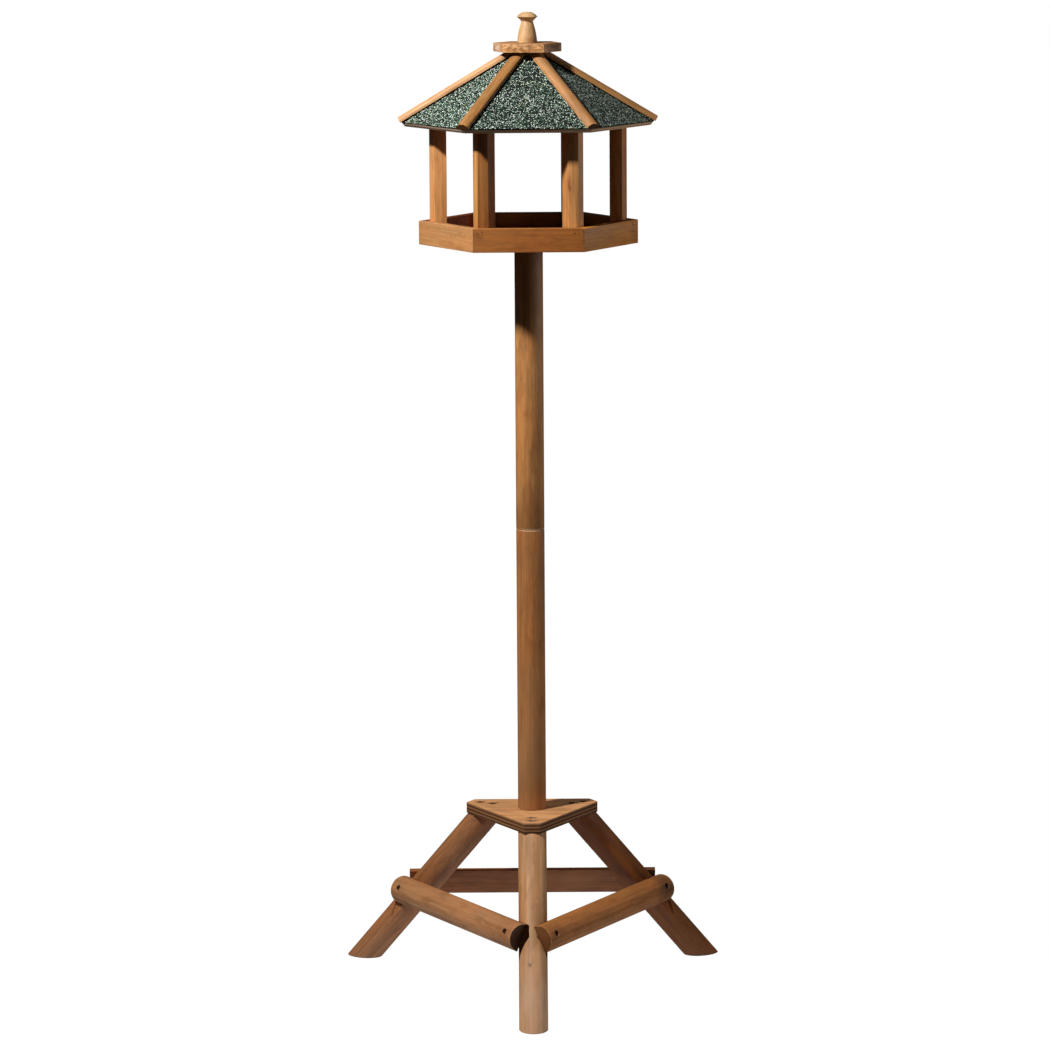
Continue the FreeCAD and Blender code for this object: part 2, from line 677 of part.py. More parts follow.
def check_model():
    """Stop if any object failed or any sub-part is empty or broken."""
    for item in doc.Objects:
        if "Invalid" in item.State or "Error" in item.State:
            raise RuntimeError("%s failed: %s" % (item.Name, item.State))
    for name, item in SUBPARTS.items():
        if item.Shape.isNull() or not item.Shape.isValid() or not item.Shape.Solids:
            raise RuntimeError("%s has no sound solid" % name)


def write_steps():
    """Write every sub-part to its own STEP file."""
    os.makedirs("parts", exist_ok=True)
    for name, item in SUBPARTS.items():
        item.Shape.exportStep(os.path.join("parts", name + ".step"))


def main():
    """Build the whole model, check it and write it."""
    under_roof = make_under_roof()
    foot_screw = make_poles()
    plate_holes = make_plate_screws()
    make_plate(foot_screw, plate_holes)
    notches, brace_holes = make_braces()
    make_legs(notches, brace_holes, plate_holes)
    nail_holes = make_tray()
    make_posts(under_roof, nail_holes)
    make_roof(under_roof)
    make_top()
    doc.recompute()
    check_model()
    write_steps()
    print("%d sub-parts written" % len(SUBPARTS))


main()
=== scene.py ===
"""Looks of a hexagonal bird table on a three-legged stand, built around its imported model."""

import logging
import math
import random
from abc import ABC, abstractmethod
from collections.abc import Iterable, Sequence
from dataclasses import dataclass
from enum import Enum

import bmesh
import bpy
from mathutils import Euler, Matrix, Vector


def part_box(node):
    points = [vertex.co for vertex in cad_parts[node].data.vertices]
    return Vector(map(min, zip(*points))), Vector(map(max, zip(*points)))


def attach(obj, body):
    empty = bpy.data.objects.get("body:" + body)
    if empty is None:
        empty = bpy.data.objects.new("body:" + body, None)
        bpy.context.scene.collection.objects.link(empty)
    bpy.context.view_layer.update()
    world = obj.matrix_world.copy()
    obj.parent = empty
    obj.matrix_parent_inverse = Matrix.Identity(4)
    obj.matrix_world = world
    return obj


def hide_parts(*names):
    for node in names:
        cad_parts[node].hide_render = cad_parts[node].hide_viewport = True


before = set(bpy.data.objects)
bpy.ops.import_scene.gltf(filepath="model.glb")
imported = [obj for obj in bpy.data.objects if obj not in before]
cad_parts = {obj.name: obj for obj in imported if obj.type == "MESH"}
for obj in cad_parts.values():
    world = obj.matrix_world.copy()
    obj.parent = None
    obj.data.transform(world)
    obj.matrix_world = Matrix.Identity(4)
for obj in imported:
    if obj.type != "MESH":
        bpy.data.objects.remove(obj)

log = logging.getLogger("bird_table")

BMesh = bmesh.types.BMesh
Material = bpy.types.Material
Mesh = bpy.types.Mesh
Socket = bpy.types.NodeSocket
Triple = tuple[float, float, float]

MM = 0.001
BODY = "root"
UP = Vector((0, 0, 1))
POLE_AXIS = Vector((0, 73.45, 0))
SIDE_AZIMUTHS = (180, 240, 300, 0, 60, 120)
CORNER_AZIMUTHS = (150, 210, 270, 330, 30, 90)
WORN_EDGE = "worn_edge"
GRAIN_TONE = "grain_tone"
AIM = "aim"
SMOOTH_UP_TO = math.radians(24)
EDGE_FROM = math.radians(32)
NODE_FAMILIES = ("ShaderNode", "GeometryNode", "FunctionNode", "Node")
ONE_RING_PER_UNIT = 0.314


def linear(colour: str) -> tuple[float, float, float, float]:
    """Turns an sRGB hex colour into the linear RGBA that shaders take.

    Args:
        colour: a colour such as "#A0703F".

    Returns:
        Linear red, green, blue and an alpha of one.
    """
    parts = [int(colour[i : i + 2], 16) / 255 for i in (1, 3, 5)]
    curve = [c / 12.92 if c <= 0.04045 else ((c + 0.055) / 1.055) ** 2.4 for c in parts]
    return (*curve, 1.0)


def outward(azimuth: float) -> Vector:
    """Gives the level direction away from the pole at an azimuth in degrees, 0 being the back."""
    turn = math.radians(azimuth)
    return Vector((-math.sin(turn), math.cos(turn), 0))


class Nodes:
    """A node tree that the script fills."""

    def __init__(self, tree: bpy.types.NodeTree) -> None:
        """Takes the tree."""
        self.tree = tree

    def add(
        self, kind: str, *inputs: object, named: dict | None = None, out: str = "",
        stops: Sequence[tuple[float, str]] = (), **settings: object,
    ) -> Socket | None:
        """Adds a node, sets it up and links what feeds it.

        Args:
            kind: the node's type name, without its family.
            inputs: what goes into the sockets in use, in their order: a value, the socket that
                feeds it, or a list of those.
            named: the same by the socket's name.
            out: name of the wanted output, which is otherwise the first in use.
            stops: positions and hex colours, for a colour ramp.
            settings: the node's own properties.

        Returns:
            The wanted output, or None where the node has none.
        """
        family = next(f for f in NODE_FAMILIES if hasattr(bpy.types, f + kind))
        node = self.tree.nodes.new(family + kind)
        for name, value in settings.items():
            setattr(node, name, value)
        pairs = list(zip([s for s in node.inputs if s.enabled], inputs))
        pairs += [(node.inputs[name], value) for name, value in (named or {}).items()]
        for socket, value in pairs:
            for source in value if isinstance(value, list) else [value]:
                if isinstance(source, Socket):
                    self.tree.links.new(source, socket)
                else:
                    socket.default_value = source
        for number, (position, colour) in enumerate(stops):
            elements = node.color_ramp.elements
            element = elements[number] if number < 2 else elements.new(position)
            element.position = position
            element.color = linear(colour)
        return node.outputs[out] if out else next((s for s in node.outputs if s.enabled), None)

    def mottle(self, place: Socket, grain: Triple, **inputs: float) -> Socket:
        """Adds an uneven pattern whose features have a given size along each axis.

        Args:
            place: pattern coordinates in mm.
            grain: size of a feature along the pattern's X, Y and Z, in mm.
            inputs: other inputs of the noise, such as Detail.

        Returns:
            The pattern's amount.
        """
        shares = tuple(1 / size for size in grain)
        place = self.add("VectorMath", place, shares, operation="MULTIPLY")
        return self.add("TexNoise", place, named={"Scale": 1.0, **inputs})


@dataclass(frozen=True)
class Lay:
    """How a pattern lies on a piece: its own Z runs along the grain or through a sheet.

    Attributes:
        centre: a point on the piece's middle line, in mm.
        along: the direction that becomes the pattern's Z.
        shift: how far the pattern's origin lies from the centre, in mm.
        spin: turn of the pattern about its Z, in degrees.
    """

    centre: Triple = (0.0, 0.0, 0.0)
    along: Triple = (0.0, 0.0, 1.0)
    shift: Triple = (0.0, 0.0, 0.0)
    spin: float = 0.0

    def coordinates(self, tree: Nodes) -> Socket:
        """Adds the nodes that give the pattern's coordinates, in mm.

        Args:
            tree: the material's nodes.

        Returns:
            The coordinates.
        """
        turn = Vector(self.along).normalized().rotation_difference(UP).to_matrix()
        turn = Matrix.Rotation(math.radians(self.spin), 3, "Z") @ turn
        origin = Vector(self.shift) - turn @ Vector(self.centre)
        found = tree.add("TexCoord", out="Object")
        return tree.add("Mapping", found, origin, turn.to_euler("XYZ"), (1 / MM, 1 / MM, 1 / MM))

    def facing(self, tree: Nodes) -> Socket:
        """Adds nodes that give 1 where the surface faces along the pattern's Z, and 0 across it.

        Args:
            tree: the material's nodes.

        Returns:
            The amount.
        """
        normal, along = tree.add("TexCoord", out="Normal"), Vector(self.along).normalized()
        size = tree.add("VectorMath", normal, along, operation="DOT_PRODUCT")
        size = tree.add("Math", size, operation="ABSOLUTE")
        return tree.add("MapRange", size, 0.72, 0.86)


@dataclass(frozen=True)
class Mark:
    """A knot, smudge or pale patch on the surface, or a painted shadow or highlight.

    Attributes:
        at: its middle, in mm in the row frame.
        radii: its half sizes along X, Y and Z, in mm.
        colour: what it turns the surface to.
        strength: how much of that colour shows in its middle.
    """

    at: Triple
    radii: Triple
    colour: str
    strength: float

    def over(self, tree: Nodes, colour: Socket) -> Socket:
        """Adds nodes that lay the mark over a colour.

        Args:
            tree: the material's nodes.
            colour: the colour so far.

        Returns:
            The marked colour.
        """
        place = tree.add("Mapping", tree.add("TexCoord", out="Object"), named={
            "Location": tuple(-a / r for a, r in zip(self.at, self.radii)),
            "Scale": tuple(1 / (MM * radius) for radius in self.radii),
        })
        away = tree.add("VectorMath", place, operation="LENGTH")
        uneven = tree.add("TexNoise", place, named={"Scale": 1.7, "Detail": 3.0})
        ragged = tree.add("Math", away, uneven, operation="ADD")
        share = tree.add("MapRange", ragged, 1.5, 0.6, 0.0, self.strength)
        return tree.add("Mix", share, colour, linear(self.colour), data_type="RGBA")


@dataclass(frozen=True)
class Finish(ABC):
    """What all finishes share: a material with their own pattern and one shader."""

    name: str

    @abstractmethod
    def look(self, tree: Nodes, lay: Lay) -> dict[str, object]:
        """Adds the nodes of the finish's own pattern.

        Args:
            tree: the material's nodes.
            lay: how the pattern lies on the piece.

        Returns:
            The shader's inputs.
        """

    def dress(
        self, label: str = "", lay: Lay = Lay(), wood: str = "#FFFFFF", marks: Iterable[Mark] = ()
    ) -> Material:
        """Makes the material for one piece.

        Args:
            label: the piece's name.
            lay: how the pattern lies on it.
            wood: the piece's colour, of which the pattern takes its shares; on the side roof
                panels it carries painted light.
            marks: knots, smudges, and painted shadows and highlights on it.

        Returns:
            The material.
        """
        material = bpy.data.materials.new(f"{self.name}.{label}" if label else self.name)
        material.use_nodes = True
        material.node_tree.nodes.clear()
        tree = Nodes(material.node_tree)
        inputs = self.look(tree, lay)
        own = linear(wood)[:3]
        colour = tree.add("VectorMath", inputs["Base Color"], own, operation="MULTIPLY")
        for mark in marks:
            colour = mark.over(tree, colour)
        shader = tree.add("BsdfPrincipled", named={**inputs, "Base Color": colour})
        tree.add("OutputMaterial", shader)
        return material


@dataclass(frozen=True)
class Timber(Finish):
    """Sawn, planed or turned softwood under a thin coloured stain.

    The eye gets soft growth rings cut through at a slant, long fine fibres, slow changes of
    the stain's depth and hue, thirstier end grain and paler worn edges. The tints are shares of
    the piece's own red, green and blue, and the sizes are in mm across and along the grain.
    """

    early: Triple = (1.16, 1.16, 1.16)
    late: Triple = (0.80, 0.70, 0.58)
    deep: Triple = (0.66, 0.56, 0.46)
    cool: Triple = (0.94, 0.98, 1.00)
    warm: Triple = (1.09, 1.03, 0.96)
    end: Triple = (0.50, 0.44, 0.38)
    worn: Triple = (1.50, 1.70, 2.00)
    ring: float = 3.4
    ring_wander: Triple = (38.0, 38.0, 260.0)
    ring_push: Triple = (14.0, 14.0, 0.0)
    fibre: Triple = (0.9, 0.9, 30.0)
    streak: Triple = (5.0, 5.0, 120.0)
    blotch: Triple = (15.0, 15.0, 42.0)
    hue: Triple = (18.0, 18.0, 110.0)
    rubbing: Triple = (6.0, 6.0, 14.0)
    streak_full: float = 0.7
    ring_share: float = 0.55
    streak_share: float = 0.6
    stain_share: float = 0.75
    roughness: float = 0.55
    gloss: float = 0.5
    relief: float = 0.10

    def look(self, tree: Nodes, lay: Lay) -> dict[str, object]:
        """Adds the nodes of the grain under its stain.

        Args:
            tree: the material's nodes.
            lay: how the grain lies on the piece.

        Returns:
            The shader's inputs.
        """
        place = lay.coordinates(tree)
        pushed = tree.mottle(place, self.ring_wander, Detail=2.0)
        pushed = tree.add("VectorMath", pushed, self.ring_push, place, operation="MULTIPLY_ADD")
        rings = tree.add("TexWave", pushed, named={
            "Scale": ONE_RING_PER_UNIT / self.ring, "Distortion": 2.2, "Detail": 2.0,
            "Detail Scale": 0.5,
        }, out="Fac", wave_type="RINGS", rings_direction="Z", wave_profile="SAW")
        fibre = tree.mottle(place, self.fibre, Detail=4.0, Roughness=0.6)
        streak = tree.mottle(place, self.streak, Detail=3.0)
        blotch = tree.mottle(place, self.blotch, Detail=5.0, Roughness=0.6)
        colour = (*self.early, 1.0)
        for pattern, start, full, share, tint in (
            (rings, 0.35, 1.0, self.ring_share, self.late),
            (streak, 0.45, self.streak_full, self.streak_share, self.late),
            (blotch, 0.48, 0.72, self.stain_share, self.deep),
        ):
            amount = tree.add("MapRange", pattern, start, full, 0.0, share)
            colour = tree.add("Mix", amount, colour, (*tint, 1.0), data_type="RGBA")
        turn = tree.add("MapRange", tree.mottle(place, self.hue, Detail=2.0), 0.38, 0.62)
        tint = tree.add("Mix", turn, (*self.cool, 1.0), (*self.warm, 1.0), data_type="RGBA")
        for factor in (tint, tree.add("MapRange", fibre, 0.3, 0.7, 0.84, 1.14)):
            colour = tree.add("VectorMath", colour, factor, operation="MULTIPLY")
        cut = tree.add("VectorMath", colour, self.end, operation="MULTIPLY")
        rubbed = tree.add("MapRange", tree.mottle(place, self.rubbing, Detail=3.0), 0.35, 0.6)
        edge = tree.add("Attribute", out="Fac", attribute_name=WORN_EDGE)
        rubbed = tree.add("Math", edge, rubbed, operation="MULTIPLY")
        for amount, other in ((lay.facing(tree), cut), (rubbed, (*self.worn, 1.0))):
            colour = tree.add("Mix", amount, colour, other, data_type="RGBA")
        dull, sleek = self.roughness + 0.08, self.roughness - 0.06
        height = tree.add("Math", rings, 0.5, fibre, operation="MULTIPLY_ADD")
        return {
            "Base Color": colour,
            "Roughness": tree.add("MapRange", fibre, 0.3, 0.7, dull, sleek),
            "Specular IOR Level": self.gloss,
            "IOR": 1.45,
            "Normal": tree.add("Bump", named={"Height": height, "Distance": self.relief * MM}),
        }


@dataclass(frozen=True)
class Plywood(Finish):
    """Exterior plywood under the same stain.

    The eye gets a broad rotary-cut figure on the faces, and on the edges thin plies that are
    light where their grain runs along and dark where it ends. The sheet's thickness is the
    pattern's Z, and all sizes are in mm.
    """

    face: str
    figure: str
    ply_light: str
    ply_dark: str
    ply: float
    worn: str
    roughness: float = 0.6
    relief: float = 0.15
    figure_size: Triple = (95.0, 8.0, 8.0)
    fibre: Triple = (28.0, 0.8, 0.8)
    blotch: Triple = (60.0, 22.0, 22.0)
    unevenness: Triple = (18.0, 18.0, 50.0)

    def look(self, tree: Nodes, lay: Lay) -> dict[str, object]:
        """Adds the nodes of the faces' figure and the edges' plies.

        Args:
            tree: the material's nodes.
            lay: how the sheet lies.

        Returns:
            The shader's inputs.
        """
        place = lay.coordinates(tree)
        shown = tree.mottle(place, self.figure_size, Detail=3.0, Distortion=0.5)
        shown = tree.add("MapRange", shown, 0.36, 0.64)
        blotch = tree.mottle(place, self.blotch, Detail=3.0)
        shown = tree.add("Math", shown, blotch, operation="MULTIPLY")
        fibre = tree.mottle(place, self.fibre, Detail=4.0, Roughness=0.6)
        uneven = tree.mottle(place, self.unevenness, Detail=2.0)
        depth = tree.add("SeparateXYZ", place, out="Z")
        depth = tree.add("Math", uneven, 0.35 * self.ply, depth, operation="MULTIPLY_ADD")
        band = tree.add("Math", depth, self.ply, operation="PINGPONG")
        band = tree.add("MapRange", band, 0.38 * self.ply, 0.62 * self.ply)
        faces, edges = (
            tree.add("Mix", amount, linear(one), linear(other), data_type="RGBA")
            for amount, one, other in (
                (shown, self.face, self.figure), (band, self.ply_light, self.ply_dark)
            )
        )
        colour = tree.add("Mix", lay.facing(tree), edges, faces, data_type="RGBA")
        light = tree.add("MapRange", fibre, 0.3, 0.7, 0.82, 1.1)
        colour = tree.add("VectorMath", colour, light, operation="MULTIPLY")
        edge = tree.add("Attribute", out="Fac", attribute_name=WORN_EDGE)
        dull, sleek = self.roughness + 0.1, self.roughness - 0.1
        height = tree.add("Math", band, -0.8, fibre, operation="MULTIPLY_ADD")
        return {
            "Base Color": tree.add("Mix", edge, colour, linear(self.worn), data_type="RGBA"),
            "Roughness": tree.add("MapRange", fibre, 0.0, 1.0, dull, sleek),
            "IOR": 1.5,
            "Normal": tree.add("Bump", named={"Height": height, "Distance": self.relief * MM}),
        }


@dataclass(frozen=True)
class Bitumen(Finish):
    """The tarry back and cut edge of roofing felt: black, slightly greasy and lumpy."""

    tar: str = "#050806"
    dust: str = "#0F1812"
    lump: float = 1.6
    relief: float = 0.5

    def look(self, tree: Nodes, lay: Lay) -> dict[str, object]:
        """Adds the nodes of the felt sheet under its granules.

        Args:
            tree: the material's nodes.
            lay: how the lumps lie.

        Returns:
            The shader's inputs.
        """
        place = lay.coordinates(tree)
        lumps = tree.mottle(place, (self.lump,) * 3, Detail=4.0, Roughness=0.7)
        return {
            "Base Color": tree.add("ValToRGB", lumps, stops=((0.35, self.tar), (0.72, self.dust))),
            "Roughness": tree.add("MapRange", lumps, 0.0, 1.0, 0.55, 0.85),
            "IOR": 1.3,
            "Normal": tree.add("Bump", named={"Height": lumps, "Distance": self.relief * MM}),
        }


@dataclass(frozen=True)
class SlateGranules(Finish):
    """Crushed slate pressed into the felt.

    Each chip has its own tone: most are blue-green or grey, some nearly white or black, and a
    few yellow-green. Their broken faces are dull.
    """

    shade: float = 1.13
    speck: float = 0.5
    tones: tuple[tuple[float, str], ...] = (
        (0.0, "#010302"), (0.28, "#080F0B"), (0.41, "#233F30"), (0.54, "#4A7058"),
        (0.68, "#7FA289"), (0.79, "#BCD2BA"), (0.90, "#F4FCEC"), (0.98, "#F4FCF4"),
        (0.985, "#A2A362"),
    )

    def look(self, tree: Nodes, lay: Lay) -> dict[str, object]:
        """Adds the nodes that give each chip its tone.

        Args:
            tree: the material's nodes.
            lay: how the chips' specks lie.

        Returns:
            The shader's inputs.
        """
        tone = tree.add("Attribute", out="Fac", attribute_name=GRAIN_TONE)
        speck = tree.mottle(lay.coordinates(tree), (self.speck,) * 3, Detail=3.0)
        colour = tree.add("ValToRGB", tone, stops=self.tones)
        light = tree.add("MapRange", speck, 0.0, 1.0, 0.7 * self.shade, 1.25 * self.shade)
        return {
            "Base Color": tree.add("VectorMath", colour, light, operation="MULTIPLY"),
            "Roughness": tree.add("MapRange", speck, 0.0, 1.0, 0.55, 0.85),
            "IOR": 1.55,
        }


@dataclass(frozen=True)
class ZincSteel(Finish):
    """Zinc-plated steel screws and nails: bright grey with a soft, slightly cloudy shine."""

    bright: str = "#C3C4C2"
    dull: str = "#77756F"
    cloud: float = 1.5

    def look(self, tree: Nodes, lay: Lay) -> dict[str, object]:
        """Adds the nodes of the cloudy zinc.

        Args:
            tree: the material's nodes.
            lay: how the clouds lie.

        Returns:
            The shader's inputs.
        """
        cloud = tree.mottle(lay.coordinates(tree), (self.cloud,) * 3, Detail=3.0)
        bright, dull = linear(self.bright), linear(self.dull)
        return {
            "Base Color": tree.add("Mix", cloud, bright, dull, data_type="RGBA"),
            "Metallic": 1.0,
            "Roughness": tree.add("MapRange", cloud, 0.0, 1.0, 0.28, 0.5),
        }


@dataclass(frozen=True)
class StudioPaper(Finish):
    """The pale paper that the bird table stands on, which glows by itself."""

    def look(self, tree: Nodes, lay: Lay) -> dict[str, object]:
        """Adds the nodes of the faintly mottled paper.

        Args:
            tree: the material's nodes.
            lay: not needed, as the paper has no grain.

        Returns:
            The shader's inputs.
        """
        place = tree.add("TexCoord", out="Object")
        mottle = tree.add("TexNoise", place, named={"Scale": 3.0})
        dark, pale = linear("#242424"), linear("#2B2B2B")
        return {
            "Base Color": tree.add("Mix", mottle, dark, pale, data_type="RGBA"),
            "Roughness": 0.9,
            "Specular IOR Level": 0.1,
            "Emission Color": linear("#FFFFFF"),
            "Emission Strength": 1.0,
        }


ROD = Timber("stained_rod", roughness=0.62, end=(0.48, 0.40, 0.26))
# The left brace's near-black end face is painted shade.
SHADED_END_ROD = Timber("shaded_end_rod", roughness=0.62, end=(0.10, 0.08, 0.07))
# Near-black painted shade for the notch floor that shows beside the left brace's end.
PAINTED_SHADE_CUT = Timber("painted_shade_cut", roughness=0.92, gloss=0.0)
BOARD = Timber("stained_board", ring_share=0.35, streak_share=0.35)
POST = Timber("stained_post", ring_share=0.45)
MOULDING = Timber(
    "pale_moulding", ring=2.4, streak_share=0.85, warm=(1.12, 1.08, 1.02),
    cool=(0.90, 0.94, 0.96), worn=(1.35, 1.50, 1.70), end=(0.22, 0.15, 0.10),
    streak=(2.4, 2.4, 45.0), late=(0.70, 0.60, 0.48),
)
SAWN_CAP = Timber(
    "sawn_cap", ring=5.0, ring_share=0.3, streak_share=1.0, end=(0.90, 0.90, 0.95),
    late=(0.58, 0.44, 0.30), warm=(1.36, 1.32, 1.24), cool=(0.90, 0.86, 0.80),
    streak=(2.8, 2.8, 10.0), streak_full=0.56,
)
TURNED = Timber(
    "turned_beech", ring=1.8, ring_share=0.4, streak_share=0.9, roughness=0.5,
    deep=(0.70, 0.62, 0.54), late=(0.80, 0.74, 0.66), end=(0.95, 0.92, 0.88),
)
SHEET = Plywood("stained_plywood", "#D89C66", "#8C5A30", "#8E6039", "#4C2A0E", 2.5, "#BE9268")
THIN_SHEET = Plywood("thin_plywood", "#B07A48", "#98683E", "#FFDDBC", "#C09C7C", 1.5, "#FFE4C8")
STEEL = ZincSteel("zinc_steel")
DARK_STEEL = ZincSteel("weathered_steel", "#4A3B30", "#1C1410")
# The sunk screws' steel is darkened and browned: painted shade of the holes they sit in.
SHADE_DARKENED_STEEL = ZincSteel("shade_darkened_steel", "#7A5E50", "#20120C")
FELT_BASE = Bitumen("bitumen_felt")
GRANULES = SlateGranules("slate_granules")
# Darker granules for the right-hand felt sheet: painted shade of the side turned from the key
# lamp.
SHADED_SIDE_GRANULES = SlateGranules("shaded_side_granules", 0.43)
PAPER = StudioPaper("studio_paper")
# Painted shade of the front leg's notch floor.
NOTCH_PAINTED_SHADE = "#1C0D06"
# Painted shade for the plate's counterbores.
SINK_PAINTED_SHADE = "#2C170A"

WOODS = {
    "lower_pole": "#A76D39", "upper_pole": "#B07943", "base_plate": "#FFFFFF",
    "leg_front": "#AC7E54", "leg_left": "#905E37", "leg_right": "#733D06",
    "brace_back": "#804A20", "brace_left": "#A47249", "brace_right": "#965E2A",
    "tray_side_1": "#915620", "tray_side_2": "#B27022", "tray_side_3": "#7E591F",
    "tray_side_4": "#83540D", "tray_side_5": "#672A00", "tray_side_6": "#AB794B",
    "post_1": "#8C5825", "post_2": "#B47D47", "post_3": "#965C22",
    "post_4": "#985D34", "post_5": "#985D34", "post_6": "#BD8550",
    "hip_batten_1": "#966939", "hip_batten_2": "#996F45", "hip_batten_3": "#986D3E",
    "hip_batten_4": "#9A6E44", "hip_batten_5": "#9A6E44", "hip_batten_6": "#B68C64",
    # roof_panel_6 is white and roof_panel_2 paler than the other panels: painted light on the
    # edges of the left and right panels.
    "roof_panel_1": "#C4BDAE", "roof_panel_2": "#D3C5B3", "roof_panel_3": "#C4BDAE",
    "roof_panel_4": "#C4BDAE", "roof_panel_5": "#C4BDAE", "roof_panel_6": "#FFFFFF",
    "roof_block": "#8A5A34", "cap": "#B68A5C", "knob": "#B18E64", "tray_floor": "#FFFFFF",
}

NAIL_DOT = (1.7, 3.0, 1.7)
MARKS = {
    "tray_side_1": (
        Mark((-68, -59.6, 1077), (9, 4, 7), "#5A3214", 0.5),
        Mark((-70.3, -59.6, 1082.1), NAIL_DOT, "#140A06", 1),
        Mark((-63.7, -59.6, 1084.2), NAIL_DOT, "#140A06", 1),
        Mark((75.3, -59.6, 1083.9), NAIL_DOT, "#1C0F08", 0.9),
        Mark((75.9, -59.6, 1071.5), NAIL_DOT, "#1C0F08", 0.9),
    ),
    "tray_side_2": (
        Mark((150, 67, 1070), (14, 24, 22), "#6E4420", 0.4),
        Mark((145.3, 59.1, 1083.8), NAIL_DOT, "#1C0F08", 0.9),
        Mark((145.3, 59.1, 1074), NAIL_DOT, "#1C0F08", 0.9),
    ),
    # Paler left facet: partly a lighter cut face, partly painted sheen where the key lamp strikes
    # it.
    "post_1": (Mark((-76, -42, 1150), (10, 10, 120), "#F0B468", 0.6),),
    "post_2": (
        Mark((55.5, -46.1, 1150), (3.6, 5, 22), "#7A3210", 0.6),
        Mark((57.2, -46.1, 1142), (2.6, 5, 6), "#5E240C", 0.5),
    ),
    "leg_front": (
        # Paler, greyer foot: painted bounce light from the ground.
        Mark((0, -200, 30), (60, 100, 90), "#B89474", 0.6),
        Mark((-4.6, -165.9, 79.4), (3.8, 5, 3.8), "#4A3A1C", 0.8),
    ),
    # Painted shadow of the base plate on the top of the left leg.
    "leg_left": (Mark((-40, 95, 215), (90, 60, 80), "#6A3E20", 0.3),),
    "upper_pole": (
        # Painted shadow of the tray on the top of the pole.
        Mark((0, 73, 1066), (50, 50, 180), "#2E1404", 1),
        Mark((0, 64, 655), (34, 34, 70), "#5C3010", 0.6),
        Mark((0, 54, 653.4), (26, 16, 1.5), "#D9B08A", 0.8),
    ),
    "lower_pole": (
        Mark((0, 64, 650), (34, 34, 160), "#7A4A20", 0.5),
        # Paler, greyer lower part: painted bounce light from the plate and ground.
        Mark((0, 60, 270), (60, 60, 210), "#A67A50", 0.6),
        Mark((0, 54, 651.6), (26, 16, 1.2), "#D9B08A", 0.7),
    ),
    "brace_back": (
        # Painted shadow of the right leg on the back brace's end.
        Mark((176, 172, 112), (56, 50, 50), "#1C0E06", 0.95),
        Mark((60, 160, 118), (70, 50, 26), "#A06A3C", 0.5),
    ),
    "brace_left": (Mark((-40, -112, 105), (60, 50, 40), "#74401A", 0.45),),
    # Painted shade on the right brace's end at the right leg.
    "brace_right": (Mark((196, 150, 112), (30, 44, 34), "#3C1E0C", 0.8),),
    "cap": (
        Mark((38, 52, 1330), (14, 36, 15), "#5A3010", 0.9),
        Mark((-42, 58, 1330), (8, 22, 10), "#E6CDBA", 0.5),
        Mark((0, 73, 1337.5), (75, 65, 4), "#7C4C2C", 0.7),
    ),
    "knob": (
        Mark((5, 60, 1340), (10, 8, 7), "#8A5426", 0.6),
        Mark((12, 70, 1350), (6, 16, 34), "#8A5426", 0.5),
        Mark((0, 73, 1379), (19, 19, 9), "#B8A074", 0.7),
    ),
}


class Slot(Enum):
    """The record's material slots."""

    ROD = "stained_rod"
    SHEET = "stained_plywood"
    BOARD = "stained_board"
    MOULDING = "light_moulding"
    KNOB = "turned_wood"
    FELT = "mineral_felt"
    STEEL = "zinc_steel"


def clean_copy(node: str) -> BMesh:
    """Copies a CAD node's mesh, merged and with its flat faces whole.

    Args:
        node: the node's name.

    Returns:
        The copy, to be freed by whoever asked for it.
    """
    mesh = bmesh.new()
    mesh.from_mesh(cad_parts[node].data)
    bmesh.ops.remove_doubles(mesh, verts=mesh.verts, dist=2e-6)
    flat = math.radians(0.4)
    bmesh.ops.dissolve_limit(mesh, angle_limit=flat, verts=mesh.verts, edges=mesh.edges)
    return mesh


def soften(mesh: BMesh, width: float) -> None:
    """Rounds a mesh's outer edges a little and notes the new faces as worn.

    Args:
        mesh: the mesh.
        width: how far the rounding reaches from an edge, in mm.
    """
    worn = mesh.faces.layers.float.new(WORN_EDGE)
    edges = [
        e for e in mesh.edges
        if e.is_manifold and e.is_convex and e.calc_face_angle(0) > EDGE_FROM
    ]
    made = bmesh.ops.bevel(
        mesh, geom=edges, offset=width * MM, offset_type="OFFSET", segments=2,
        profile=0.5, affect="EDGES", clamp_overlap=True,
    )
    for face in made["faces"]:
        face[worn] = 1.0


def middle(node: str) -> Triple:
    """Gives the middle of a CAD node's box, in mm."""
    low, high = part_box(node)
    return tuple((low + high) / 2 / MM)


def grown(node: str, along: Sequence[float]) -> Lay:
    """Lays the grain on a solid piece, with its pith somewhere beside it.

    Args:
        node: the CAD node, whose name sets its own cut through the tree.
        along: the direction of its grain.

    Returns:
        The lay.
    """
    draw = random.Random(node)
    away = draw.uniform(24, 60)
    turn = draw.uniform(0, 2 * math.pi)
    shift = (away * math.cos(turn), away * math.sin(turn), draw.uniform(0, 900))
    return Lay(middle(node), tuple(along), shift)


def put(name: str, data: bpy.types.ID) -> bpy.types.Object:
    """Puts a mesh, light or camera into the scene as an object.

    Args:
        name: the object's name.
        data: the mesh, light or camera.

    Returns:
        The object.
    """
    thing = bpy.data.objects.new(name, data)
    bpy.context.scene.collection.objects.link(thing)
    return thing


